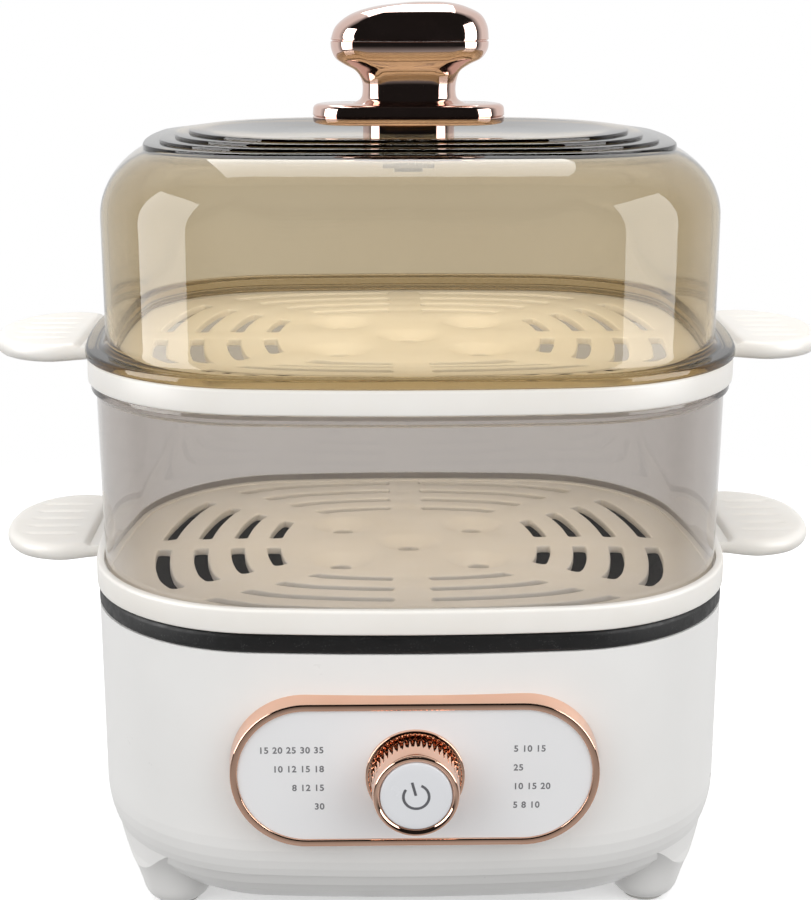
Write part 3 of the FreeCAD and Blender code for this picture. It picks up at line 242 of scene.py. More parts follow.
def oval(shape, grow=0.0, centre_x=0.0):
    """Points of an oval of eight tangent arcs, as many and in the same order for every size."""
    half_x, half_y, corner, _bow = shape
    cx, cy, side, front = tangents(shape)
    low = math.atan2(cy, cx + side)
    high = math.atan2(cy + front, cx)
    quarter = []
    for x, y, radius, start, end, steps in ((-side, 0.0, half_x + side, 0.0, low, SIDE_STEPS),
                                            (cx, cy, corner, low, high, CORNER_STEPS),
                                            (0.0, -front, half_y + front, high, math.pi / 2.0, FRONT_STEPS)):
        for step in range(steps):
            angle = start + (end - start) * step / steps
            quarter.append((x + (radius + grow) * math.cos(angle), y + (radius + grow) * math.sin(angle)))
    quarter.append((0.0, half_y + grow))
    loop = quarter[:-1]
    loop += [(-x, y) for x, y in reversed(quarter)][:-1]
    loop += [(-x, -y) for x, y in quarter][:-1]
    loop += [(x, -y) for x, y in reversed(quarter)][:-1]
    return [(centre_x + x, y) for x, y in loop]


def level(points, z):
    """A loop of outline points at one height, about the body's centre line."""
    return [Vector((x, CENTRE_Y + y, z)) for x, y in points]


def round_like(points, radius):
    """Circle whose points lie in the same directions as those of another loop."""
    return [(radius * math.cos(math.atan2(y, x)), radius * math.sin(math.atan2(y, x))) for x, y in points]


def bend(start, corner, end):
    """Points of a smooth arc from start to end, drawn towards a corner."""
    points = []
    for step in range(FILLET_STEPS + 1):
        t = step / FILLET_STEPS
        points.append(start * (1 - t) ** 2 + corner * 2 * t * (1 - t) + end * t ** 2)
    return points


def rounded(profile):
    """Closed profile of (across, up, radius) corners with each corner turned into an arc."""
    points = []
    count = len(profile)
    for index, (across, up, radius) in enumerate(profile):
        here = Vector((across, up))
        before = Vector(profile[index - 1][:2]) - here
        after = Vector(profile[(index + 1) % count][:2]) - here
        if radius <= 0.0:
            points.append((here.x, here.y))
            continue
        trim = min(radius, 0.48 * before.length, 0.48 * after.length)
        start = here + before.normalized() * trim
        end = here + after.normalized() * trim
        points += [(spot.x, spot.y) for spot in bend(start, here, end)]
    return points


def spline(rows, steps):
    """Smooth Catmull-Rom rows through a table of rows of numbers."""
    smooth = []
    last = len(rows) - 1
    for index in range(last):
        p0 = rows[max(index - 1, 0)]
        p1 = rows[index]
        p2 = rows[index + 1]
        p3 = rows[min(index + 2, last)]
        for step in range(steps):
            t = step / steps
            smooth.append(tuple(0.5 * (2 * b + (c - a) * t + (2 * a - 5 * b + 4 * c - d) * t ** 2
                                       + (3 * b - a - 3 * c + d) * t ** 3)
                                for a, b, c, d in zip(p0, p1, p2, p3)))
    smooth.append(tuple(rows[-1]))
    return smooth


def ease(value, low, high):
    """Smooth step from 0 at low to 1 at high."""
    t = min(max((value - low) / (high - low), 0.0), 1.0)
    return t * t * (3.0 - 2.0 * t)


# ---- meshes ----
class Shape:
    """Collects points and faces of one mesh."""

    def __init__(self):
        self.points = []
        self.faces = []

    def add(self, points):
        start = len(self.points)
        self.points += [tuple(point) for point in points]
        return list(range(start, start + len(points)))

    def bridge(self, first, second):
        count = len(first)
        for i in range(count):
            j = (i + 1) % count
            self.faces.append((first[i], first[j], second[j], second[i]))

    def skin(self, loops, closed=False, caps=True):
        """Quads through matching loops; a closed skin also joins its last loop to its first."""
        rows = [self.add(loop) for loop in loops]
        for first, second in zip(rows, rows[1:]):
            self.bridge(first, second)
        if closed:
            self.bridge(rows[-1], rows[0])
        elif caps:
            self.faces.append(tuple(reversed(rows[0])))
            self.faces.append(tuple(rows[-1]))
        return rows

    def mesh(self, name, sharp=SHARP_EDGE):
        mesh = bpy.data.meshes.new(name)
        mesh.from_pydata(self.points, [], self.faces)
        clean = bmesh.new()
        clean.from_mesh(mesh)
        bmesh.ops.remove_doubles(clean, verts=clean.verts, dist=1e-7)
        bmesh.ops.recalc_face_normals(clean, faces=clean.faces)
        clean.to_mesh(mesh)
        clean.free()
        mesh.polygons.foreach_set("use_smooth", [True] * len(mesh.polygons))
        mesh.set_sharp_from_angle(angle=math.radians(sharp))
        mesh.update()
        return mesh


def piece(name, mesh, material, body, nodes=()):
    """A finished piece: its finish, the body it rides on and the CAD nodes it stands for."""
    made = bpy.data.objects.new(name, mesh)
    bpy.context.scene.collection.objects.link(made)
    mesh.materials.clear()
    mesh.materials.append(material)
    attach(made, body)
    if nodes:
        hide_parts(*nodes)
    return made


def skinned(name, loops, material, body, node, closed=False, sharp=SHARP_EDGE):
    """A finished piece that is one skin through matching loops and stands for one CAD node."""
    shape = Shape()
    shape.skin(loops, closed)
    return piece(name, shape.mesh(name, sharp), material, body, [node])


def sweep(profile):
    """Loops of a closed (grow, z, radius) profile carried around the footprint."""
    return [level(oval(BODY, grow), z) for grow, z in rounded(profile)]


def filled(outline, holes, extra=()):
    """Triangles between an outline and its holes, through extra points; all as (x, y) pairs."""
    loops = [list(outline)] + [list(hole) for hole in holes]
    flat = [Vector(point) for loop in loops for point in loop] + [Vector(point) for point in extra]
    faces = []
    start = 0
    for loop in loops:
        faces.append(list(range(start, start + len(loop))))
        start += len(loop)
    points, _edges, triangles, _ids, _edge_ids, owners = delaunay_2d_cdt(flat, [], faces, 1, 1e-9)
    kept = [tri for tri, owner in zip(triangles, owners) if all(index == 0 for index in owner)]
    return [(point.x, point.y) for point in points], kept


# ---- materials ----
def linear(*srgb):
    """Scene-linear colour of an 8-bit sRGB one."""
    return tuple((c / 255.0 / 12.92) if c <= 10 else ((c / 255.0 + 0.055) / 1.055) ** 2.4 for c in srgb)


class Finish:
    """Node material built round one Principled shader."""

    def __init__(self, name, **settings):
        self.material = bpy.data.materials.new(name)
        self.material.use_nodes = True
        self.tree = self.material.node_tree
        self.shader = self.tree.nodes["Principled BSDF"]
        self.place = self.tree.nodes.new("ShaderNodeTexCoord").outputs["Object"]
        for socket, value in settings.items():
            self.shader.inputs[socket.replace("_", " ")].default_value = value

    def node(self, kind, **inputs):
        made = self.tree.nodes.new(kind)
        for socket, value in inputs.items():
            self.feed(made.inputs[socket.replace("_", " ")], value)
        return made

    def feed(self, socket, value):
        if isinstance(value, bpy.types.NodeSocket):
            self.tree.links.new(value, socket)
        else:
            socket.default_value = value

    def stretched(self, scale):
        made = self.node("ShaderNodeMapping", Vector=self.place)
        made.inputs["Scale"].default_value = scale
        return made.outputs["Vector"]

    def noise(self, scale, detail=3.0, roughness=0.5, at=None):
        made = self.node("ShaderNodeTexNoise", Vector=at or self.place, Scale=scale, Detail=detail,
                         Roughness=roughness)
        return made.outputs["Fac"]

    def cells(self, scale):
        return self.node("ShaderNodeTexVoronoi", Vector=self.place, Scale=scale).outputs["Distance"]

    def span(self, value, low, high, start=0.3, end=0.7):
        """Value between start and end turned into low to high."""
        made = self.tree.nodes.new("ShaderNodeMapRange")
        for socket, setting in zip(made.inputs, (value, start, end, low, high)):
            self.feed(socket, setting)
        return made.outputs["Result"]

    def blend(self, amount, first, second):
        made = self.tree.nodes.new("ShaderNodeMix")
        made.data_type = "RGBA"
        self.feed(made.inputs["Factor"], amount)
        self.feed(made.inputs[6], first + (1.0,) if isinstance(first, tuple) else first)
        self.feed(made.inputs[7], second + (1.0,) if isinstance(second, tuple) else second)
        return made.outputs[2]

    def colour(self, value):
        self.feed(self.shader.inputs["Base Color"], value)

    def rough(self, value):
        self.feed(self.shader.inputs["Roughness"], value)

    def bump(self, height, distance, strength=1.0):
        made = self.tree.nodes.new("ShaderNodeBump")
        made.inputs["Strength"].default_value = strength
        made.inputs["Distance"].default_value = distance
        self.feed(made.inputs["Height"], height)
        earlier = self.shader.inputs["Normal"].links
        if earlier:
            self.feed(made.inputs["Normal"], earlier[0].from_socket)
        self.feed(self.shader.inputs["Normal"], made.outputs["Normal"])


def moulded(name, colour, rough=0.34, grain=2600.0, depth=0.000012, shift=0.03):
    """Injection-moulded plastic: fine mould grain, slow flow shading, faint handling marks."""
    made = Finish(name, IOR=1.49)
    darker = tuple(channel * (1.0 - shift) for channel in colour)
    made.colour(made.blend(made.span(made.noise(26.0, 4.0), 0.0, 1.0), colour, darker))
    marks = made.span(made.noise(55.0, 6.0, 0.65), rough - 0.05, rough + 0.08)
    made.rough(marks)
    made.bump(made.noise(grain, 2.0), depth, 0.35)
    made.bump(made.noise(30.0, 1.0), 0.00025, 0.05)
    return made.material


def tray_plastic(name):
    """Satin white polypropylene that lets a little light through."""
    made = Finish(name, IOR=1.49, Subsurface_Weight=0.12, Subsurface_Scale=0.004)
    made.shader.inputs["Subsurface Radius"].default_value = (1.0, 0.9, 0.8)
    white = linear(246, 243, 238)
    made.colour(made.blend(made.span(made.noise(30.0, 4.0), 0.0, 1.0), white, linear(240, 236, 229)))
    made.rough(made.span(made.noise(60.0, 6.0, 0.6), 0.28, 0.42))
    made.bump(made.noise(2400.0, 2.0), 0.00001, 0.3)
    return made.material


def clear_plastic(name, tint, deep_tint, absorbed):
    """Polished clear shell, tinted, darker along its edges, with faint flow swirls and wiping marks."""
    made = Finish(name, IOR=1.49, Transmission_Weight=1.0)
    depth = made.node("ShaderNodeVolumeAbsorption")
    depth.inputs["Color"].default_value = tuple(1.0 - share for share in absorbed) + (1.0,)
    depth.inputs["Density"].default_value = ABSORPTION_DENSITY
    made.tree.links.new(depth.outputs[0], made.tree.nodes["Material Output"].inputs["Volume"])
    swirl = made.noise(9.0, 4.0, 0.55, made.stretched((1.0, 1.0, 0.35)))
    made.colour(made.blend(made.span(swirl, 0.0, 1.0), tint, deep_tint))
    made.rough(made.span(made.noise(240.0, 5.0, 0.7), 0.004, 0.03, 0.45, 0.75))
    made.bump(made.noise(14.0, 2.0), 0.0006, 0.06)
    return made.material


def rose_gold(name, light, deep):
    """Polished rose-gold plating: slow waviness of the moulding beneath, faint smudges."""
    made = Finish(name, Metallic=1.0)
    made.colour(made.blend(made.span(made.noise(40.0, 3.0), 0.0, 1.0), light, deep))
    made.rough(made.span(made.noise(160.0, 6.0, 0.65), 0.02, 0.08))
    made.bump(made.noise(70.0, 1.0), 0.0002, 0.05)
    return made.material


def pan_coating(name):
    """Black non-stick coating with fine pale specks over a slightly pebbled casting."""
    made = Finish(name, IOR=1.5)
    specks = made.span(made.cells(1500.0), 1.0, 0.0, 0.10, 0.26)
    patchy = made.span(made.noise(300.0, 2.0), 0.0, 1.0, 0.48, 0.62)
    both = made.node("ShaderNodeMath").outputs[0]
    both.node.operation = "MULTIPLY"
    made.feed(both.node.inputs[0], specks)
    made.feed(both.node.inputs[1], patchy)
    made.colour(made.blend(both, linear(14, 14, 15), linear(84, 84, 84)))
    made.rough(made.span(made.noise(400.0, 4.0), 0.42, 0.62))
    made.bump(made.noise(1300.0, 3.0), 0.00006, 0.5)
    return made.material


def turned_metal(name, colour, rough, scale=900.0):
    """Machined metal with fine concentric or drawn lines."""
    made = Finish(name, Metallic=1.0)
    lines = made.noise(scale, 3.0, 0.6, made.stretched((1.0, 0.06, 1.0)))
    darker = tuple(channel * 0.8 for channel in colour)
    made.colour(made.blend(made.span(lines, 0.0, 1.0), colour, darker))
    made.rough(made.span(lines, rough - 0.06, rough + 0.12))
    made.bump(lines, 0.00003, 0.4)
    return made.material


def circuit_board(name):
    """Green solder mask over a faint pattern of tracks."""
    made = Finish(name, IOR=1.5)
    tracks = made.node("ShaderNodeTexBrick", Vector=made.place, Scale=160.0).outputs["Fac"]
    made.colour(made.blend(tracks, linear(24, 78, 46), linear(40, 112, 66)))
    made.rough(made.span(made.noise(300.0), 0.25, 0.4))
    made.bump(tracks, 0.00004, 0.4)
    return made.material


def lamp_lens(name):
    """Milky indicator lens."""
    made = Finish(name, IOR=1.5, Transmission_Weight=0.3)
    made.colour(made.blend(made.span(made.noise(500.0), 0.0, 1.0), linear(235, 228, 214),
                           linear(216, 208, 190)))
    made.rough(made.span(made.noise(900.0), 0.12, 0.25))
    made.bump(made.noise(1200.0), 0.00001, 0.3)
    return made.material


def ink(name, colour):
    """Pad-printed ink, slightly uneven."""
    made = Finish(name, IOR=1.45)
    paler = tuple(min(1.0, channel * 1.25) for channel in colour)
    made.colour(made.blend(made.span(made.noise(900.0, 4.0), 0.0, 1.0), colour, paler))
    made.rough(made.span(made.noise(1200.0), 0.35, 0.55))
    made.bump(made.noise(2500.0), 0.000006, 0.4)
    return made.material


def all_finishes():
    """One material for each slot of the record, and a paler gold for the handle."""
    recipes = {
        "housing_white": (moulded, linear(240, 239, 237), 0.32),
        "fascia_white": (moulded, linear(235, 235, 236), 0.5, 3400.0, 0.00002),
        "cap_white": (moulded, linear(228, 229, 232), 0.22, 3000.0, 0.000004),
        "rose_gold": (rose_gold, linear(250, 208, 184), linear(242, 196, 170)),
        "handle_gold": (rose_gold, linear(232, 204, 194), linear(222, 190, 178)),
        "tray_white": (tray_plastic,),
        "clear_smoke": (clear_plastic, (0.84, 0.825, 0.81), (0.80, 0.785, 0.77),
                        (0.36, 0.42, 0.46)),
        "clear_amber": (clear_plastic, (0.86, 0.83, 0.77), (0.83, 0.79, 0.72),
                        (0.36, 0.50, 0.82)),
        "pan_coating": (pan_coating,),
        "cast_plate": (turned_metal, linear(202, 202, 204), 0.4),
        "zinc_steel": (turned_metal, linear(190, 192, 196), 0.32, 1400.0),
        "soft_rubber": (moulded, linear(196, 194, 190), 0.7, 1500.0, 0.00004, 0.08),
        "inner_plastic": (moulded, linear(214, 212, 206), 0.5, 1800.0, 0.00003, 0.05),
        "inlet_black": (moulded, linear(30, 30, 32), 0.42, 1900.0, 0.00003, 0.2),
        "circuit_board": (circuit_board,),
        "transformer_black": (moulded, linear(26, 26, 28), 0.55, 1200.0, 0.00005, 0.25),
        "relay_plastic": (moulded, linear(30, 92, 168), 0.4, 2000.0, 0.00002, 0.1),
        "led_lens": (lamp_lens,),
        "inner_ceramic": (moulded, linear(232, 228, 216), 0.6, 900.0, 0.00008, 0.08),
        "lead_sleeve": (moulded, linear(222, 218, 206), 0.55, 1500.0, 0.00005, 0.12),
        "brass_pins": (turned_metal, linear(214, 178, 108), 0.28, 1200.0),
    }
    return {name: maker(name, *settings) for name, (maker, *settings) in recipes.items()}


def finish_cad_nodes(finishes):
    """Every carried-over CAD node takes the material of its slot."""
    for part in frame["record"]["subparts"]:
        node = frame["nodes"][part["node"]]
        node.data.materials.clear()
        node.data.materials.append(finishes[part["material_slot"]])


# ---- pan ----
def cooking_pan(finishes):
    floor = PAN_LOW.z
    inner_floor = floor + PAN_WALL
    foot = -PAN_FOOT_INSET
    inner_wall = -PAN_WALL_INSET - PAN_WALL
    under_rim = PAN_RIM_LOW - 0.001
    seat = PAN_RIM_TOP - PAN_SEAT_DEPTH
    profile = [
        (-PAN_WALL_INSET, PAN_RIM_LOW, 0.0005), (-0.0009, PAN_RIM_LOW, 0.0003),
        (0.0, PAN_RIM_LOW + 0.0009, 0.0006), (0.0, PAN_RIM_TOP - 0.0012, 0.0008),
        (-0.0012, PAN_RIM_TOP, 0.0008), (-PAN_RIM_WIDTH, PAN_RIM_TOP, 0.0005),
        (-PAN_RIM_WIDTH, seat, 0.0003), (inner_wall, seat, 0.0004), (inner_wall, under_rim, 0.001),
        (foot - PAN_WALL, inner_floor + PAN_CURVE_R, PAN_CURVE_R),
        (foot - PAN_EDGE_R, inner_floor, PAN_CURVE_R),
        (-PAN_FLOOR_INSET, inner_floor, 0.0), (-PAN_FLOOR_INSET, floor, 0.0),
        (foot - PAN_EDGE_R, floor, PAN_CURVE_R), (foot, floor + PAN_EDGE_R, PAN_CURVE_R),
        (-PAN_WALL_INSET, under_rim, 0.001),
    ]
    shape = Shape()
    shape.skin(sweep(profile), closed=True)
    for z in (floor, inner_floor):
        shape.faces.append(tuple(shape.add(level(oval(BODY, -PAN_FLOOR_INSET), z))))
    mesh = shape.mesh("pan_coated")
    piece("pan_coated", mesh, finishes["pan_coating"], "pan", ["cooking_pan"])


# ---- steaming trays ----
def slot_runs(half):
    """The eight stretches of one slot ring's edge that the bridges leave open."""
    points = oval((half, half, SLOT_RING_CORNER * half, SLOT_RING_BOW * half))
    dense = []
    for (x0, y0), (x1, y1) in zip(points, points[1:] + points[:1]):
        for step in range(SLOT_SPLITS):
            t = step / SLOT_SPLITS
            dense.append((x0 + (x1 - x0) * t, y0 + (y1 - y0) * t))
    runs = []
    run = []
    for x, y in dense + dense[:1]:
        across = [abs(x * math.sin(turn) - y * math.cos(turn))
                  for turn in (DIAGONAL_ANGLE, -DIAGONAL_ANGLE)]
        if abs(x) > BRIDGE_HALF and abs(y) > BRIDGE_HALF and min(across) > DIAGONAL_HALF:
            run.append((x, y))
        elif run:
            runs.append(run)
            run = []
    return runs


def softened(loop, radius):
    """Closed outline whose sharp corners are cut back and turned into arcs."""
    points = []
    count = len(loop)
    for index in range(count):
        here = Vector(loop[index])
        before = Vector(loop[index - 1]) - here
        after = Vector(loop[(index + 1) % count]) - here
        if before.angle(after) > SHARP_TURN:
            points.append(here)
            continue
        start = here + before.normalized() * radius
        end = here + after.normalized() * radius
        points.append(None)
        points += bend(start, here, end)
        points.append(None)
    return trimmed(points, radius)


def trimmed(points, radius):
    """Drops the edge points that lie inside the arcs of the corners beside them."""
    arcs = []
    inside = False
    for point in points:
        if point is None:
            inside = not inside
        else:
            arcs.append((point, inside))
    ends = [arcs[i][0] for i in range(len(arcs)) if arcs[i][1]]
    kept = []
    for point, on_arc in arcs:
        if on_arc or min((point - end).length for end in ends) > 0.35 * radius:
            kept.append(point)
    result = []
    for point in kept:
        if not result or (point - result[-1]).length > 1e-5:
            result.append(point)
    return [(point.x, point.y) for point in result]


def widened(loop, distance):
    """Outline moved outwards along its normals."""
    area = sum(x0 * y1 - x1 * y0 for (x0, y0), (x1, y1) in zip(loop, loop[1:] + loop[:1]))
    sign = 1.0 if area > 0 else -1.0
    moved = []
    count = len(loop)
    for index, (x, y) in enumerate(loop):
        ahead = Vector(loop[(index + 1) % count])
        along = (ahead - Vector(loop[index - 1])).normalized()
        moved.append((x + sign * along.y * distance, y - sign * along.x * distance))
    return moved


def slot_outlines():
    """Every steam slot, as a closed outline with rounded ends."""
    outlines = []
    for ring in range(SLOT_RINGS):
        half = SLOT_OUTER_HALF - SLOT_PITCH * ring
        inner = slot_runs(half - SLOT_WIDTH)
        for outer_run in slot_runs(half):
            middle = Vector(outer_run[len(outer_run) // 2])
            inner_run = min(inner, key=lambda run: (Vector(run[len(run) // 2]) - middle).length)
            if len(outer_run) < 3 or len(inner_run) < 3:
                continue
            outlines.append(softened(outer_run + inner_run[::-1], SLOT_ROUND))
    return outlines


def circle(centre, radius):
    return [(centre[0] + radius * math.cos(math.tau * i / CUP_POINTS),
             centre[1] + radius * math.sin(math.tau * i / CUP_POINTS)) for i in range(CUP_POINTS)]


CUP_CENTRES = [(0.0, 0.0)] + [(sx * CUP_PLACE, sy * CUP_PLACE) for sx in (-1, 1) for sy in (-1, 1)]


def dimple(x, y):
    """How far the tray's floor dips at a point: a shallow egg cup around each centre."""
    for cx, cy in CUP_CENTRES:
        t = math.hypot(x - cx, y - cy) / CUP_R
        if t < 1.0:
            return -CUP_DEPTH * (1.0 - t * t) ** 1.5
    return 0.0


def tray_floor(shape, top):
    """Perforated floor: slots with rounded rims, five egg cups with a drain hole each."""
    edge = oval(BODY, -SKIRT_IN_INSET + FLOOR_OVERLAP)
    holes = slot_outlines() + [circle(centre, CUP_HOLE_R) for centre in CUP_CENTRES]
    cups = [point for centre in CUP_CENTRES for ring in range(1, CUP_RINGS + 1)
            for point in circle(centre, CUP_HOLE_R + (CUP_R - CUP_HOLE_R) * ring / CUP_RINGS)]

    def place(points, z):
        return [(x, CENTRE_Y + y, z + dimple(x, y)) for x, y in points]

    for z, widen in ((top, SLOT_BEVEL), (top - FLOOR_THICKNESS, 0.0)):
        points, triangles = filled(edge, [widened(hole, widen) for hole in holes], cups)
        rows = shape.add(place(points, z))
        shape.faces += [tuple(rows[i] for i in tri) for tri in triangles]
    for hole in holes:
        walls = []
        for step in range(FILLET_STEPS + 1):
            angle = 0.5 * math.pi * step / FILLET_STEPS
            grow = SLOT_BEVEL * (1.0 - math.sin(angle))
            drop = SLOT_BEVEL * (1.0 - math.cos(angle))
            walls.append(place(widened(hole, grow), top - drop))
        walls.append(place(hole, top - FLOOR_THICKNESS))
        shape.skin(walls, caps=False)
    shape.skin([level(edge, top), level(edge, top - FLOOR_THICKNESS)], caps=False)


def ear_outline(grow):
    """Plan of a grip in (x, y), from the near root round the tip to the far root."""
    near = [(x, -y) for x, y in EAR_SIDE]
    curve = spline(near + [(EAR_TIP_X, 0.0)] + list(EAR_SIDE[::-1]), EAR_STEPS)
    stretch_x = 1.0 + grow / (EAR_TIP_X - EAR_ROOT_X)
    stretch_y = 1.0 + grow / EAR_HALF
    return [(EAR_ROOT_X + (x - EAR_ROOT_X) * stretch_x, y * stretch_y) for x, y in curve]


def groove(x, y):
    """Depth of the grip's finger grooves at a point."""
    along = ease(x, *EAR_GROOVE_START) * (1.0 - ease(x, *EAR_GROOVE_END))
    for index in range(EAR_GROOVES):
        offset = abs(y - (index - (EAR_GROOVES - 1) / 2.0) * EAR_GROOVE_PITCH)
        if offset < EAR_GROOVE_HALF:
            return -EAR_GROOVE_DEPTH * along * math.cos(0.5 * math.pi * offset / EAR_GROOVE_HALF) ** 2
    return 0.0


def ear(shape, base_z, side):
    """Flat paddle-shaped grip, rounded at its edge, grooved on top and relieved under the brim."""
    low = base_z + EAR_LIFT
    high = low + EAR_THICKNESS
    ring_top = base_z + RING_HEIGHT

    def place(points, z):
        placed = []
        for x, y in points:
            rise = EAR_RELIEF_RISE * ease(x, EAR_RELIEF_X, EAR_RELIEF_X + EAR_RELIEF_RUN)
            height = min(z, ring_top - EAR_RELIEF_DROP + rise)
            placed.append((side * x, CENTRE_Y + side * y, height + (groove(x, y) if z == high else 0.0)))
        return placed

    levels = [(low + height, grow) for height, grow in EAR_UNDER]
    levels += [(high - depth, grow) for depth, grow in EAR_OVER]
    rows = [shape.add(place(ear_outline(grow), z)) for z, grow in levels]
    for first, second in zip(rows, rows[1:]):
        shape.bridge(first, second)
    shape.faces.append(tuple(reversed(rows[0])))
    top_grow = levels[-1][1]
    start_x, start_y = EAR_GRID_START
    pitch_x, pitch_y = EAR_GRID_PITCH
    columns, lines = EAR_GRID_COUNT
    grid = [(start_x + pitch_x * i, start_y + pitch_y * j) for i in range(columns) for j in range(lines)]
    border = ear_outline(top_grow - EAR_GRID_CLEAR)
    points, triangles = filled(ear_outline(top_grow), [], [spot for spot in grid if within(spot, border)])
    rows = shape.add(place(points, high))
    shape.faces += [tuple(rows[i] for i in tri) for tri in triangles]


def within(spot, loop):
    """Whether a point lies inside a closed outline."""
    x, y = spot
    odd = False
    for (x0, y0), (x1, y1) in zip(loop, loop[1:] + loop[:1]):
        if (y0 > y) != (y1 > y) and x < (x1 - x0) * (y - y0) / (y1 - y0) + x0:
            odd = not odd
    return odd


def steaming_tray(finishes, name, base_z, body, node):
    top = base_z + RING_HEIGHT
    profile = [
        (-SKIRT_OUT_INSET, base_z - SKIRT_DROP, 0.0004), (-SKIRT_OUT_INSET, base_z, 0.0003),
        (RING_OVERHANG, base_z, 0.0007), (RING_OVERHANG, top, 0.0011), (-RING_WALL_INSET, top, 0.0004),
        (-RING_WALL_INSET, top - LEDGE_DEPTH, 0.0002), (-SKIRT_IN_INSET, top - LEDGE_DEPTH, 0.0003),
        (-SKIRT_IN_INSET, base_z - SKIRT_DROP, 0.0004),
    ]
    shape = Shape()
    shape.skin(sweep(profile), closed=True)
    tray_floor(shape, top - FLOOR_DEPTH)
    for side in (-1, 1):
        ear(shape, base_z, side)
    piece(name, shape.mesh(name), finishes["tray_white"], body, [node])


# ---- clear collar and lid ----
def tier_collar(finishes):
    low, high = COLLAR_LOW.z + SEAT_GAP, COLLAR_HIGH.z - SEAT_GAP
    lip = high - COLLAR_LIP_HEIGHT
    profile = [
        (-COLLAR_FOOT_INSET, low, 0.0006), (-COLLAR_HEAD_INSET, lip - 0.001, 0.0007),
        (-COLLAR_LIP_INSET, lip, 0.0007), (-COLLAR_LIP_INSET, high, 0.0005),
        (-COLLAR_HEAD_INSET - CLEAR_WALL, high, 0.0005),
        (-COLLAR_HEAD_INSET - CLEAR_WALL, lip - 0.001, 0.001),
        (-COLLAR_FOOT_INSET - CLEAR_WALL, low, 0.0006),
    ]
    return skinned("collar_clear", sweep(profile), finishes["clear_smoke"], "collar",
                   "tier_collar", closed=True)


def outward(x, y):
    """How far a point lies outside the body's footprint, measured square to it."""
    half_x, half_y, corner, _bow = BODY
    cx, cy, side, front = tangents(BODY)
    x, y = abs(x), abs(y)
    if math.atan2(y, x + side) < math.atan2(cy, cx + side):
        return math.hypot(x + side, y) - half_x - side
    if math.atan2(y + front, x) > math.atan2(cy + front, cx):
        return math.hypot(x, y + front) - half_y - front
    return math.hypot(x - cx, y - cy) - corner


def lid_rounding(foot):
    """Loops over the lid's shoulder, from the upright wall to the foot of the first step."""
    height = LID_SHOULDER_Z - LID_ROUND_CENTRE_Z
    inset = LID_WALL_INSET + LID_ROUND_R
    body = oval(BODY)
    limits = [min(max((outward(x, y) + inset) / LID_ROUND_R, 0.0), 1.0) for x, y in foot]
    ends = [oval(BODY, -inset + LID_ROUND_R * limit)[i] for i, limit in enumerate(limits)]
    loops = []
    for step in range(LID_ROUND_STEPS + 1):
        t = step / LID_ROUND_STEPS
        loop = []
        for i, limit in enumerate(limits):
            angle = t * math.acos(limit)
            grow = LID_ROUND_R * math.cos(angle) - inset
            along = Vector(body[i]) - Vector(ends[i])
            held = LID_ROUND_R * limit
            share = (grow + inset - held) / max(inset - held, 1e-9)
            x, y = Vector(ends[i]) + along * share + (Vector(foot[i]) - Vector(ends[i])) * t * t
            reach = min(max((outward(x, y) + inset) / LID_ROUND_R, 0.0), 1.0)
            z = LID_ROUND_CENTRE_Z + height * math.sqrt(1.0 - reach ** 2)
            loop.append(Vector((x, CENTRE_Y + y, z)))
        loops.append(loop)
    return loops


def lid_top_loops():
    """Nested steps, the dish round the handle and the bolt hole, from the outside inwards."""
    corner = (LID_STEP_CORNER, LID_STEP_BOW)
    loops = lid_rounding(oval(LID_STEP_HALVES[0] + corner))
    floor_z = LID_SHOULDER_Z
    for index, (half_x, half_y) in enumerate(LID_STEP_HALVES):
        top = LID_SHOULDER_Z - LID_STEP_SINK + LID_STEP_HEIGHT * (index + 1)
        if index > 0:
            loops.append(level(oval((half_x, half_y) + corner), floor_z))
        for step in range(FILLET_STEPS + 1):
            angle = 0.5 * math.pi * step / FILLET_STEPS
            shrink = LID_STEP_EDGE * (1.0 - math.cos(angle))
            rise = LID_STEP_EDGE * math.sin(angle)
            edge = (half_x - shrink, half_y - shrink) + corner
            loops.append(level(oval(edge), top - LID_STEP_EDGE + rise))
        floor_z = top
    loops.append(level(oval(DISH_RIM_HALF + (DISH_RIM_CORNER, LID_STEP_BOW)), floor_z))
    loops.append(level(oval(DISH_HALF + (DISH_CORNER, LID_STEP_BOW)), BOSS_LOW.z))
    bolt = round_like(oval(BODY), LID_BOLT_R)
    loops.append(level(bolt, BOSS_LOW.z))
    loops.append(level(bolt, LID_SHOULDER_Z - CLEAR_WALL))
    return loops


def lid_inside_loops(lip_low):
    """From the ceiling over the inner rounding and down the inner wall."""
    inset = LID_WALL_INSET + LID_ROUND_R
    radius = LID_ROUND_R - CLEAR_WALL
    height = LID_SHOULDER_Z - CLEAR_WALL - LID_ROUND_CENTRE_Z
    loops = []
    for step in range(LID_ROUND_STEPS + 1):
        angle = math.pi / 2.0 * (1.0 - step / LID_ROUND_STEPS)
        loops.append(level(oval(BODY, radius * math.cos(angle) - inset),
                           LID_ROUND_CENTRE_Z + height * math.sin(angle)))
    loops.append(level(oval(BODY, -LID_WALL_INSET - CLEAR_WALL), lip_low))
    return loops


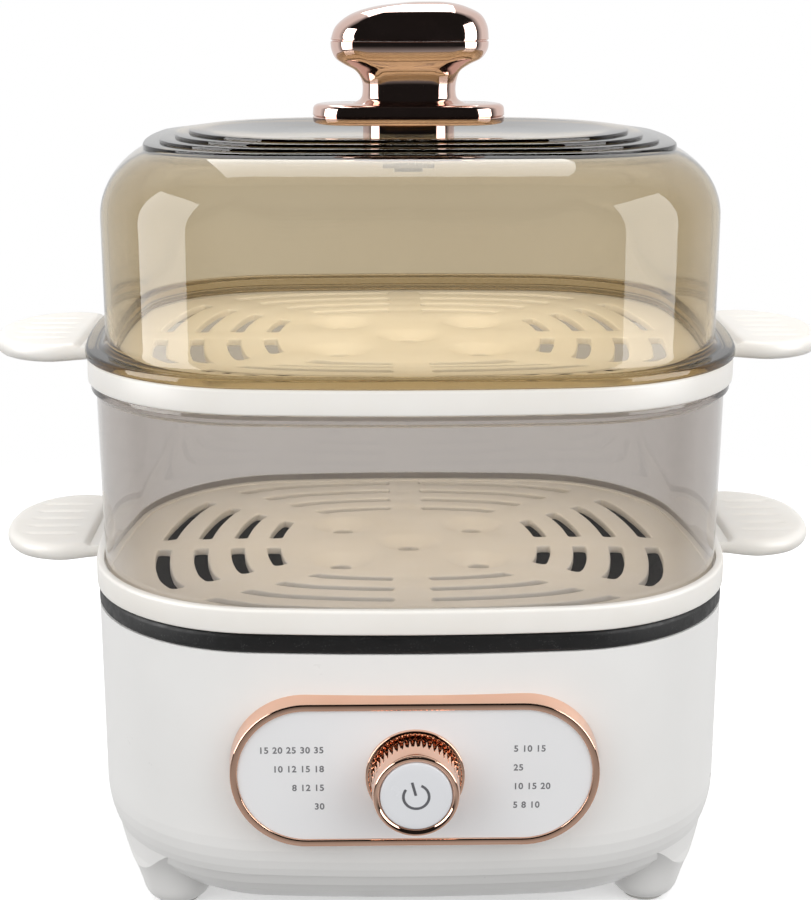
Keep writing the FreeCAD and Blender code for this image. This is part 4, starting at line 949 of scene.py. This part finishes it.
def lid_shell(finishes):
    lip_low = LID_LOW.z
    brim_low = lip_low + LID_LIP_DROP + SEAT_GAP
    brim_high = brim_low - SEAT_GAP + BRIM_HEIGHT
    brim = [
        (-LID_LIP_INSET, lip_low, 0.0004), (-LID_LIP_INSET, brim_low, 0.0003),
        (BRIM_OVERHANG, brim_low, 0.0007), (BRIM_OVERHANG, brim_high, 0.0012),
        (-LID_WALL_INSET + BRIM_FOOT, brim_high, 0.0014),
        (-LID_WALL_INSET, brim_high + BRIM_FOOT_HEIGHT, 0.001),
    ]
    inner_foot = (-LID_WALL_INSET - CLEAR_WALL, lip_low, 0.0)
    wall_top = (-LID_WALL_INSET, LID_ROUND_CENTRE_Z, 0.0)
    loops = sweep([inner_foot] + brim + [wall_top])[1:-1]
    return skinned("lid_clear", loops + lid_top_loops() + lid_inside_loops(lip_low),
                   finishes["clear_amber"], "lid", "lid_shell", closed=True)


# ---- handle ----
def section(z, left, right, half_y):
    """One level of the handle: a nearly elliptical oval between two x values."""
    half_x = (right - left) / 2.0
    small = min(half_x, half_y)
    outline = oval((half_x, half_y, SECTION_CORNER * small, SECTION_BOW * small), 0.0, (left + right) / 2.0)
    return level(outline, z)


def flange(z, inset):
    half_x, half_y = FLANGE_HALF
    return section(z, inset - half_x, half_x - inset, half_y - inset)


def handle_boss(finishes):
    """Boss under the flange and the flange's lower half."""
    seam = BOSS_HIGH.z - SEAM_GAP
    plate_low = BOSS_HIGH.z - PLATE_THICKNESS
    half_x, half_y = BOSS_HALF
    loops = [section(z, -half_x, half_x, half_y) for z in (BOSS_LOW.z, plate_low)]
    loops += [flange(plate_low + height, inset) for height, inset in PLATE_EDGE]
    loops += [flange(seam - SEAM_BEVEL, 0.0), flange(seam, SEAM_BEVEL)]
    skinned("handle_boss", loops, finishes["handle_gold"], "lid", "handle_base")


def handle_neck(finishes):
    """Flange's upper half, drawn-in neck and the lower half of the head."""
    seam = HANDLE_LOW.z
    top = NECK[0][0]
    loops = [flange(seam, SEAM_BEVEL), flange(seam + SEAM_BEVEL, 0.0)]
    loops += [flange(top - depth, inset) for depth, inset in FLANGE_EDGE]
    rows = spline(NECK, SECTION_STEPS)
    z, left, right, half_y = rows[-1]
    rows[-1] = (z - SEAM_BEVEL, left, right, half_y)
    rows.append((z - SEAM_GAP, left + SEAM_BEVEL, right - SEAM_BEVEL, half_y - SEAM_BEVEL))
    loops += [section(*row) for row in rows]
    skinned("handle_neck", loops, finishes["handle_gold"], "lid", "handle_body")


def handle_head(finishes):
    """Upper half of the head, domed and leaning to one side."""
    rows = spline(HEAD, SECTION_STEPS)
    z, left, right, half_y = rows[0]
    rows[0] = (z + SEAM_BEVEL, left, right, half_y)
    rows.insert(0, (z, left + SEAM_BEVEL, right - SEAM_BEVEL, half_y - SEAM_BEVEL))
    loops = [section(min(row[0], HEAD_HIGH.z), *row[1:]) for row in rows]
    skinned("handle_head", loops, finishes["handle_gold"], "lid", "handle_cap")


# ---- panel and knob ----
def stadium(half_x, half_z, y):
    """Loop with half-round ends, upright, about the middle of the panel."""
    straight = half_x - half_z
    loop = []
    for centre, start in ((straight, -0.5 * math.pi), (-straight, 0.5 * math.pi)):
        for step in range(STADIUM_STEPS + 1):
            angle = start + math.pi * step / STADIUM_STEPS
            x = centre + half_z * math.cos(angle)
            loop.append(Vector((x, y, PANEL_Z + half_z * math.sin(angle))))
    return loop


def panel_trim(finishes):
    """Plated band round the panel, its front edge rolled over on both sides."""
    half_x, half_z = TRIM_HALF
    front = TRIM_LOW.y
    back = front + TRIM_DEPTH
    profile = [
        (TRIM_FLARE, back, 0.0), (0.0, front, 0.0005),
        (-TRIM_WIDTH, front, 0.0005), (-TRIM_WIDTH, back, 0.0),
    ]
    loops = [stadium(half_x + grow, half_z + grow, y) for grow, y in rounded(profile)]
    skinned("trim_plated", loops, finishes["rose_gold"], "base", "panel_trim", closed=True)


def turned(profile, count=TURNED_POINTS, tooth=None):
    """Loops of a closed (radius, y) profile turned about the knob's axis; tooth() may shape them."""
    loops = []
    for radius, y in profile:
        loop = []
        for index in range(count):
            angle = math.tau * index / count
            reach = radius - (tooth(index, radius, y) if tooth else 0.0)
            loop.append(Vector((KNOB_X + reach * math.cos(angle), y, KNOB_Z + reach * math.sin(angle))))
        loops.append(loop)
    return loops


def knob_bezel(finishes):
    """Flat thin ring behind the knob, with the web that holds it."""
    front, back = BEZEL_LOW.y, BEZEL_HIGH.y
    outer = (BEZEL_HIGH.x - BEZEL_LOW.x) / 2.0
    bore = outer - BEZEL_WIDTH
    web = back - BEZEL_WEB
    profile = rounded([(outer, back, 0.0), (outer, front, 0.0004), (bore, front, 0.0004), (bore, web, 0.0),
                       (BEZEL_BORE_R, web, 0.0), (BEZEL_BORE_R, back, 0.0)])
    skinned("bezel_plated", turned(profile), finishes["rose_gold"], "base", "knob_bezel",
            closed=True)


def knob_shell(finishes):
    """Cup with a knurled skirt and a polished, bevelled front ring."""
    front, back = KNOB_LOW.y, KNOB_HIGH.y
    skirt = (KNOB_HIGH.x - KNOB_LOW.x) / 2.0
    ring = skirt - KNOB_RING_INSET
    cap = (CAP_HIGH.x - CAP_LOW.x) / 2.0 + CAP_GAP
    knurl_front = front + KNURL_START
    knurl_back = back - KNURL_END
    web_front, web_back = (front + depth for depth in KNOB_WEB)
    outside = rounded([(cap, front + KNOB_RECESS, 0.0), (cap, front + KNOB_BEVEL, 0.0003),
                       (cap + 0.0009, front, 0.0005), (ring - 0.0003, front, 0.0005),
                       (ring, front + KNOB_BEVEL, 0.0006), (skirt - KNURL_TAPER, knurl_front, 0.0)])
    for step in range(1, KNURL_STEPS + 1):
        share = step / KNURL_STEPS
        y = knurl_front + (knurl_back - knurl_front) * share
        outside.append((skirt - KNURL_TAPER * (1.0 - share), y))
    inside = [(skirt - KNURL_TAPER, back), (skirt - 0.0019, back), (skirt - 0.0022, web_back),
              (KNOB_BORE_R, web_back), (KNOB_BORE_R, web_front)]

    def tooth(index, radius, y):
        if radius < ring or y < knurl_front:
            return 0.0
        wave = 0.5 - 0.5 * math.cos(math.tau * index / KNOB_TOOTH_POINTS)
        return KNOB_TOOTH_DEPTH * wave * ease(y, knurl_front, knurl_back)

    loops = turned(outside + inside, KNOB_TEETH * KNOB_TOOTH_POINTS, tooth)
    skinned("knob_plated", loops, finishes["rose_gold"], "knob", "knob_shell", closed=True,
            sharp=50.0)


def knob_cap(finishes):
    """White disc with a rolled edge, very slightly domed."""
    front, back = CAP_LOW.y, CAP_HIGH.y
    radius = (CAP_HIGH.x - CAP_LOW.x) / 2.0
    profile = [(radius, back), (radius, front + 0.0006), (radius - 0.0001, front + 0.00035),
               (radius - 0.0003, front + 0.00018), (radius - 0.0007, front + 0.0001),
               (radius * 0.8, front + 0.00006), (radius * 0.6, front + 0.00003), (radius * 0.3, front),
               (0.0002, front)]
    skinned("cap_disc", turned(profile), finishes["cap_white"], "knob", "knob_cap")


def start_symbol(mark):
    """Generic start and standby mark on the knob: an open ring with a bar."""
    y = CAP_LOW.y - PRINT_HEIGHT
    depth = PRINT_HEIGHT * 2.0
    inner, outer = SYMBOL_R - SYMBOL_HALF, SYMBOL_R + SYMBOL_HALF
    sweep_angle = 360.0 - 2.0 * SYMBOL_GAP
    shape = Shape()
    loops = []
    for step in range(SYMBOL_STEPS + 1):
        angle = math.radians(90.0 + SYMBOL_GAP + sweep_angle * step / SYMBOL_STEPS) + SYMBOL_TILT
        loops.append([Vector((KNOB_X + reach * math.cos(angle), at, KNOB_Z + reach * math.sin(angle)))
                      for reach, at in ((inner, y), (outer, y), (outer, y + depth), (inner, y + depth))])
    shape.skin(loops)
    upright = math.pi / 2 + SYMBOL_TILT
    axis = Vector((math.cos(upright), 0.0, math.sin(upright)))
    across = Vector((axis.z, 0.0, -axis.x)) * SYMBOL_HALF
    centre = Vector((KNOB_X, y, KNOB_Z))
    shape.skin([[centre + axis * reach + across * sign + Vector((0.0, at, 0.0))
                 for sign, at in ((-1, 0.0), (1, 0.0), (1, depth), (-1, depth))] for reach in SYMBOL_BAR])
    piece("start_symbol", shape.mesh("start_symbol"), mark, "knob")


def panel_label(text, row, column, mark, name):
    """One printed row of minutes beside the knob, standing a hair proud of the panel."""
    curve = bpy.data.curves.new(name, "FONT")
    curve.body = text
    curve.size = LABEL_HEIGHT
    curve.align_x = "RIGHT" if column == 0 else "LEFT"
    curve.align_y = "CENTER"
    curve.extrude = PRINT_HEIGHT / 2.0
    curve.offset = LABEL_WEIGHT
    curve.space_character = LABEL_SPACING
    drawn = bpy.data.objects.new(name + "_drawn", curve)
    mesh = bpy.data.meshes.new_from_object(drawn)
    bpy.data.objects.remove(drawn)
    bpy.data.curves.remove(curve)
    for vertex in mesh.vertices:
        x, up, out = vertex.co
        vertex.co = (LABEL_COLUMN_X[column] + x, PANEL_LOW.y - PRINT_HEIGHT / 2.0 - out,
                     PANEL_Z + LABEL_ROWS_Z[row] + up)
    mesh.name = name
    mesh.update()
    piece(name, mesh, mark, "base")


def panel_print():
    grey = ink("label_ink", linear(112, 112, 115))
    for column, texts in enumerate((LABEL_LEFT, LABEL_RIGHT)):
        for row, text in enumerate(texts):
            panel_label(text, row, column, grey, "label_%s_%d" % (("left", "right")[column], row + 1))
    start_symbol(ink("symbol_ink", linear(92, 92, 96)))


# ---- studio ----
CAMERA_DISTANCE = 0.616
CAMERA_HEIGHT = 0.309
CAMERA_YAW = math.radians(1.2)
CAMERA_PITCH = math.radians(14.8)
CAMERA_AIM = math.radians(0.1)
LENS = 70.0                 # both in millimetres
SENSOR = 36.0
MIDDLE = (0.0, CENTRE_Y, 0.15)
SIDE_AIM = (0.0, CENTRE_Y - 0.1, 0.3)
# name, place, aim, size, radiance
SOFTBOXES = (
    ("softbox_left", (-0.82, CENTRE_Y - 0.28, 0.42), SIDE_AIM, (0.60, 0.86), 5.0),
    ("softbox_right", (0.80, CENTRE_Y - 0.40, 0.42), SIDE_AIM, (0.66, 0.86), 4.4),
    ("softbox_top", (-0.05, CENTRE_Y + 0.48, 1.02), (-0.05, CENTRE_Y + 0.4, 0.0), (0.5, 0.95), 3.4),
)
KEYS = (
    ("key_left", (-0.9, CENTRE_Y - 0.8, 0.75), MIDDLE, (0.9, 0.9), 1.7),
    ("key_right", (0.9, CENTRE_Y - 0.8, 0.75), MIDDLE, (0.9, 0.9), 1.8),
    ("key_top", (0.0, CENTRE_Y + 0.1, 1.35), MIDDLE, (1.0, 1.0), 0.6),
)
GLOW_SIZE = (0.18, 0.15)
AMBER_LIGHT = (1.0, 0.90, 0.72)
SMOKE_LIGHT = (1.0, 0.86, 0.64)
# from, to, value at from, value at to
BEHIND = (-0.05, 0.35, 0.012, 0.85)
BELOW = (-0.5, -0.15, 0.42, 0.0)
SKYWARD = (-0.25, 0.15, 0.26, 1.03)
SEEN_THROUGH = 0.86


def camera():
    data = bpy.data.cameras.new("camera")
    data.lens = LENS
    data.sensor_width = SENSOR
    made = bpy.data.objects.new("camera", data)
    bpy.context.scene.collection.objects.link(made)
    made.location = (-CAMERA_DISTANCE * math.sin(CAMERA_YAW),
                     CENTRE_Y - CAMERA_DISTANCE * math.cos(CAMERA_YAW), CAMERA_HEIGHT)
    made.rotation_euler = (math.radians(90.0) - CAMERA_PITCH, 0.0, CAMERA_AIM - CAMERA_YAW)
    bpy.context.scene.camera = made


def softbox(name, place, aim, size, radiance, diffuse):
    """Rectangular area light of a given brightness, aimed at a point."""
    data = bpy.data.lights.new(name, "AREA")
    data.shape = "RECTANGLE"
    data.size, data.size_y = size
    data.energy = radiance * math.pi * size[0] * size[1]
    made = bpy.data.objects.new(name, data)
    bpy.context.scene.collection.objects.link(made)
    made.location = place
    made.rotation_euler = (Vector(aim) - Vector(place)).to_track_quat("-Z", "Y").to_euler()
    made.visible_camera = False
    made.visible_transmission = False
    made.visible_diffuse = diffuse
    return made


def studio_lights():
    """Softboxes that only show in reflections, and soft keys that only light surfaces."""
    for settings in SOFTBOXES:
        softbox(*settings, False)
    keys = [softbox(*settings, True) for settings in KEYS]
    for key in keys:
        key.visible_glossy = False
    return keys


def tier_glow(name, body, ceiling_z, colour, radiance):
    """Soft light inside a clear tier, in the colour that daylight takes on inside it."""
    glow = softbox(name, (0.0, CENTRE_Y, ceiling_z), (0.0, CENTRE_Y, 0.0), GLOW_SIZE, radiance, True)
    glow.data.color = colour
    glow.visible_glossy = False
    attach(glow, body)


def shine_through(keys, clear):
    """The clear shells hold no light back from the keys."""
    passing = bpy.data.collections.new("clear_shells")
    for shell in clear:
        passing.objects.link(shell)
    for item in passing.collection_objects:
        item.light_linking.link_state = "EXCLUDE"
    for key in keys:
        key.light_linking.blocker_collection = passing


def studio_world():
    """White to the camera, brighter above than below in diffuse light, and in reflections a dark room
    in front, white behind and a pale table below."""
    world = bpy.data.worlds.new("studio")
    bpy.context.scene.world = world
    world.use_nodes = True
    tree = world.node_tree
    tree.nodes.clear()
    link = tree.links.new

    def node(kind, settings, **choices):
        made = tree.nodes.new(kind)
        for name, choice in choices.items():
            setattr(made, name, choice)
        for key, value in settings.items():
            if isinstance(value, bpy.types.NodeSocket):
                link(value, made.inputs[key])
            else:
                made.inputs[key].default_value = value
        return made.outputs[0]

    def ramp(value, spread):
        start, end, low, high = spread
        return node("ShaderNodeMapRange", {"Value": value, "From Min": start, "From Max": end,
                                           "To Min": low, "To Max": high})

    def either(amount, first, second):
        return node("ShaderNodeMix", {0: amount, 2: first, 3: second}, data_type="FLOAT")

    ray = tree.nodes.new("ShaderNodeLightPath").outputs
    split = tree.nodes.new("ShaderNodeSeparateXYZ")
    link(tree.nodes.new("ShaderNodeTexCoord").outputs["Generated"], split.inputs[0])
    y, z = split.outputs["Y"], split.outputs["Z"]
    room = node("ShaderNodeMath", {0: ramp(y, BEHIND), 1: ramp(z, BELOW)}, operation="MAXIMUM")
    soft = either(ray["Is Diffuse Ray"], 1.0, ramp(z, SKYWARD))
    through = either(ray["Is Transmission Ray"], soft, SEEN_THROUGH)
    mirrored = node("ShaderNodeMath", {0: ray["Is Glossy Ray"], 1: ray["Is Transmission Ray"]},
                    operation="SUBTRACT", use_clamp=True)
    background = node("ShaderNodeBackground", {"Color": (1.0, 1.0, 1.0, 1.0),
                                               "Strength": either(mirrored, through, room)})
    link(background, tree.nodes.new("ShaderNodeOutputWorld").inputs["Surface"])
    bpy.context.scene.view_settings.view_transform = "Standard"


FLOOR_R = 0.58
FLOOR_FADE = 0.22
FLOOR_RINGS = (FLOOR_R, 0.3, 0.05)
FLOOR_POINTS = 96
FLOOR_GLOW = 0.34


def studio_floor():
    """White disc whose border fades away."""
    made = Finish("floor_white", IOR=1.45)
    made.shader.inputs["Specular IOR Level"].default_value = 0.0
    made.colour(made.blend(made.span(made.noise(12.0), 0.0, 1.0), (0.93, 0.93, 0.93), (0.91, 0.91, 0.91)))
    made.shader.inputs["Emission Color"].default_value = (1.0, 1.0, 1.0, 1.0)
    made.shader.inputs["Emission Strength"].default_value = FLOOR_GLOW
    made.rough(made.span(made.noise(80.0), 0.75, 0.9))
    reach = made.node("ShaderNodeVectorMath", Vector=made.place)
    reach.operation = "LENGTH"
    fade = made.span(reach.outputs["Value"], 1.0, 0.0, FLOOR_R - FLOOR_FADE, FLOOR_R)
    made.feed(made.shader.inputs["Alpha"], fade)
    shape = Shape()
    turns = [math.tau * i / FLOOR_POINTS for i in range(FLOOR_POINTS)]
    rings = [[Vector((radius * math.cos(turn), radius * math.sin(turn), 0.0)) for turn in turns]
             for radius in FLOOR_RINGS]
    rows = shape.skin(rings, caps=False)
    shape.faces.append(tuple(rows[-1]))
    mesh = shape.mesh("floor")
    floor = bpy.data.objects.new("floor", mesh)
    mesh.materials.append(made.material)
    bpy.context.scene.collection.objects.link(floor)
    floor.location = (0.0, CENTRE_Y, -0.0002)
    floor.visible_diffuse = False
    floor.visible_glossy = False


def build():
    camera()
    studio_world()
    keys = studio_lights()
    tier_glow("glow_upper", "lid", LID_SHOULDER_Z - 0.010, AMBER_LIGHT, 1.25)
    tier_glow("glow_lower", "collar", COLLAR_HIGH.z - 0.006, SMOKE_LIGHT, 0.68)
    studio_floor()
    finishes = all_finishes()
    finish_cad_nodes(finishes)
    cooking_pan(finishes)
    steaming_tray(finishes, "tray_lower", PAN_RIM_TOP, "lower_tier", "lower_tray")
    steaming_tray(finishes, "tray_upper", PAN_RIM_TOP + TIER_PITCH, "upper_tier", "upper_tray")
    shine_through(keys, [tier_collar(finishes), lid_shell(finishes)])
    handle_boss(finishes)
    handle_neck(finishes)
    handle_head(finishes)
    panel_trim(finishes)
    knob_bezel(finishes)
    knob_shell(finishes)
    knob_cap(finishes)
    panel_print()


build()
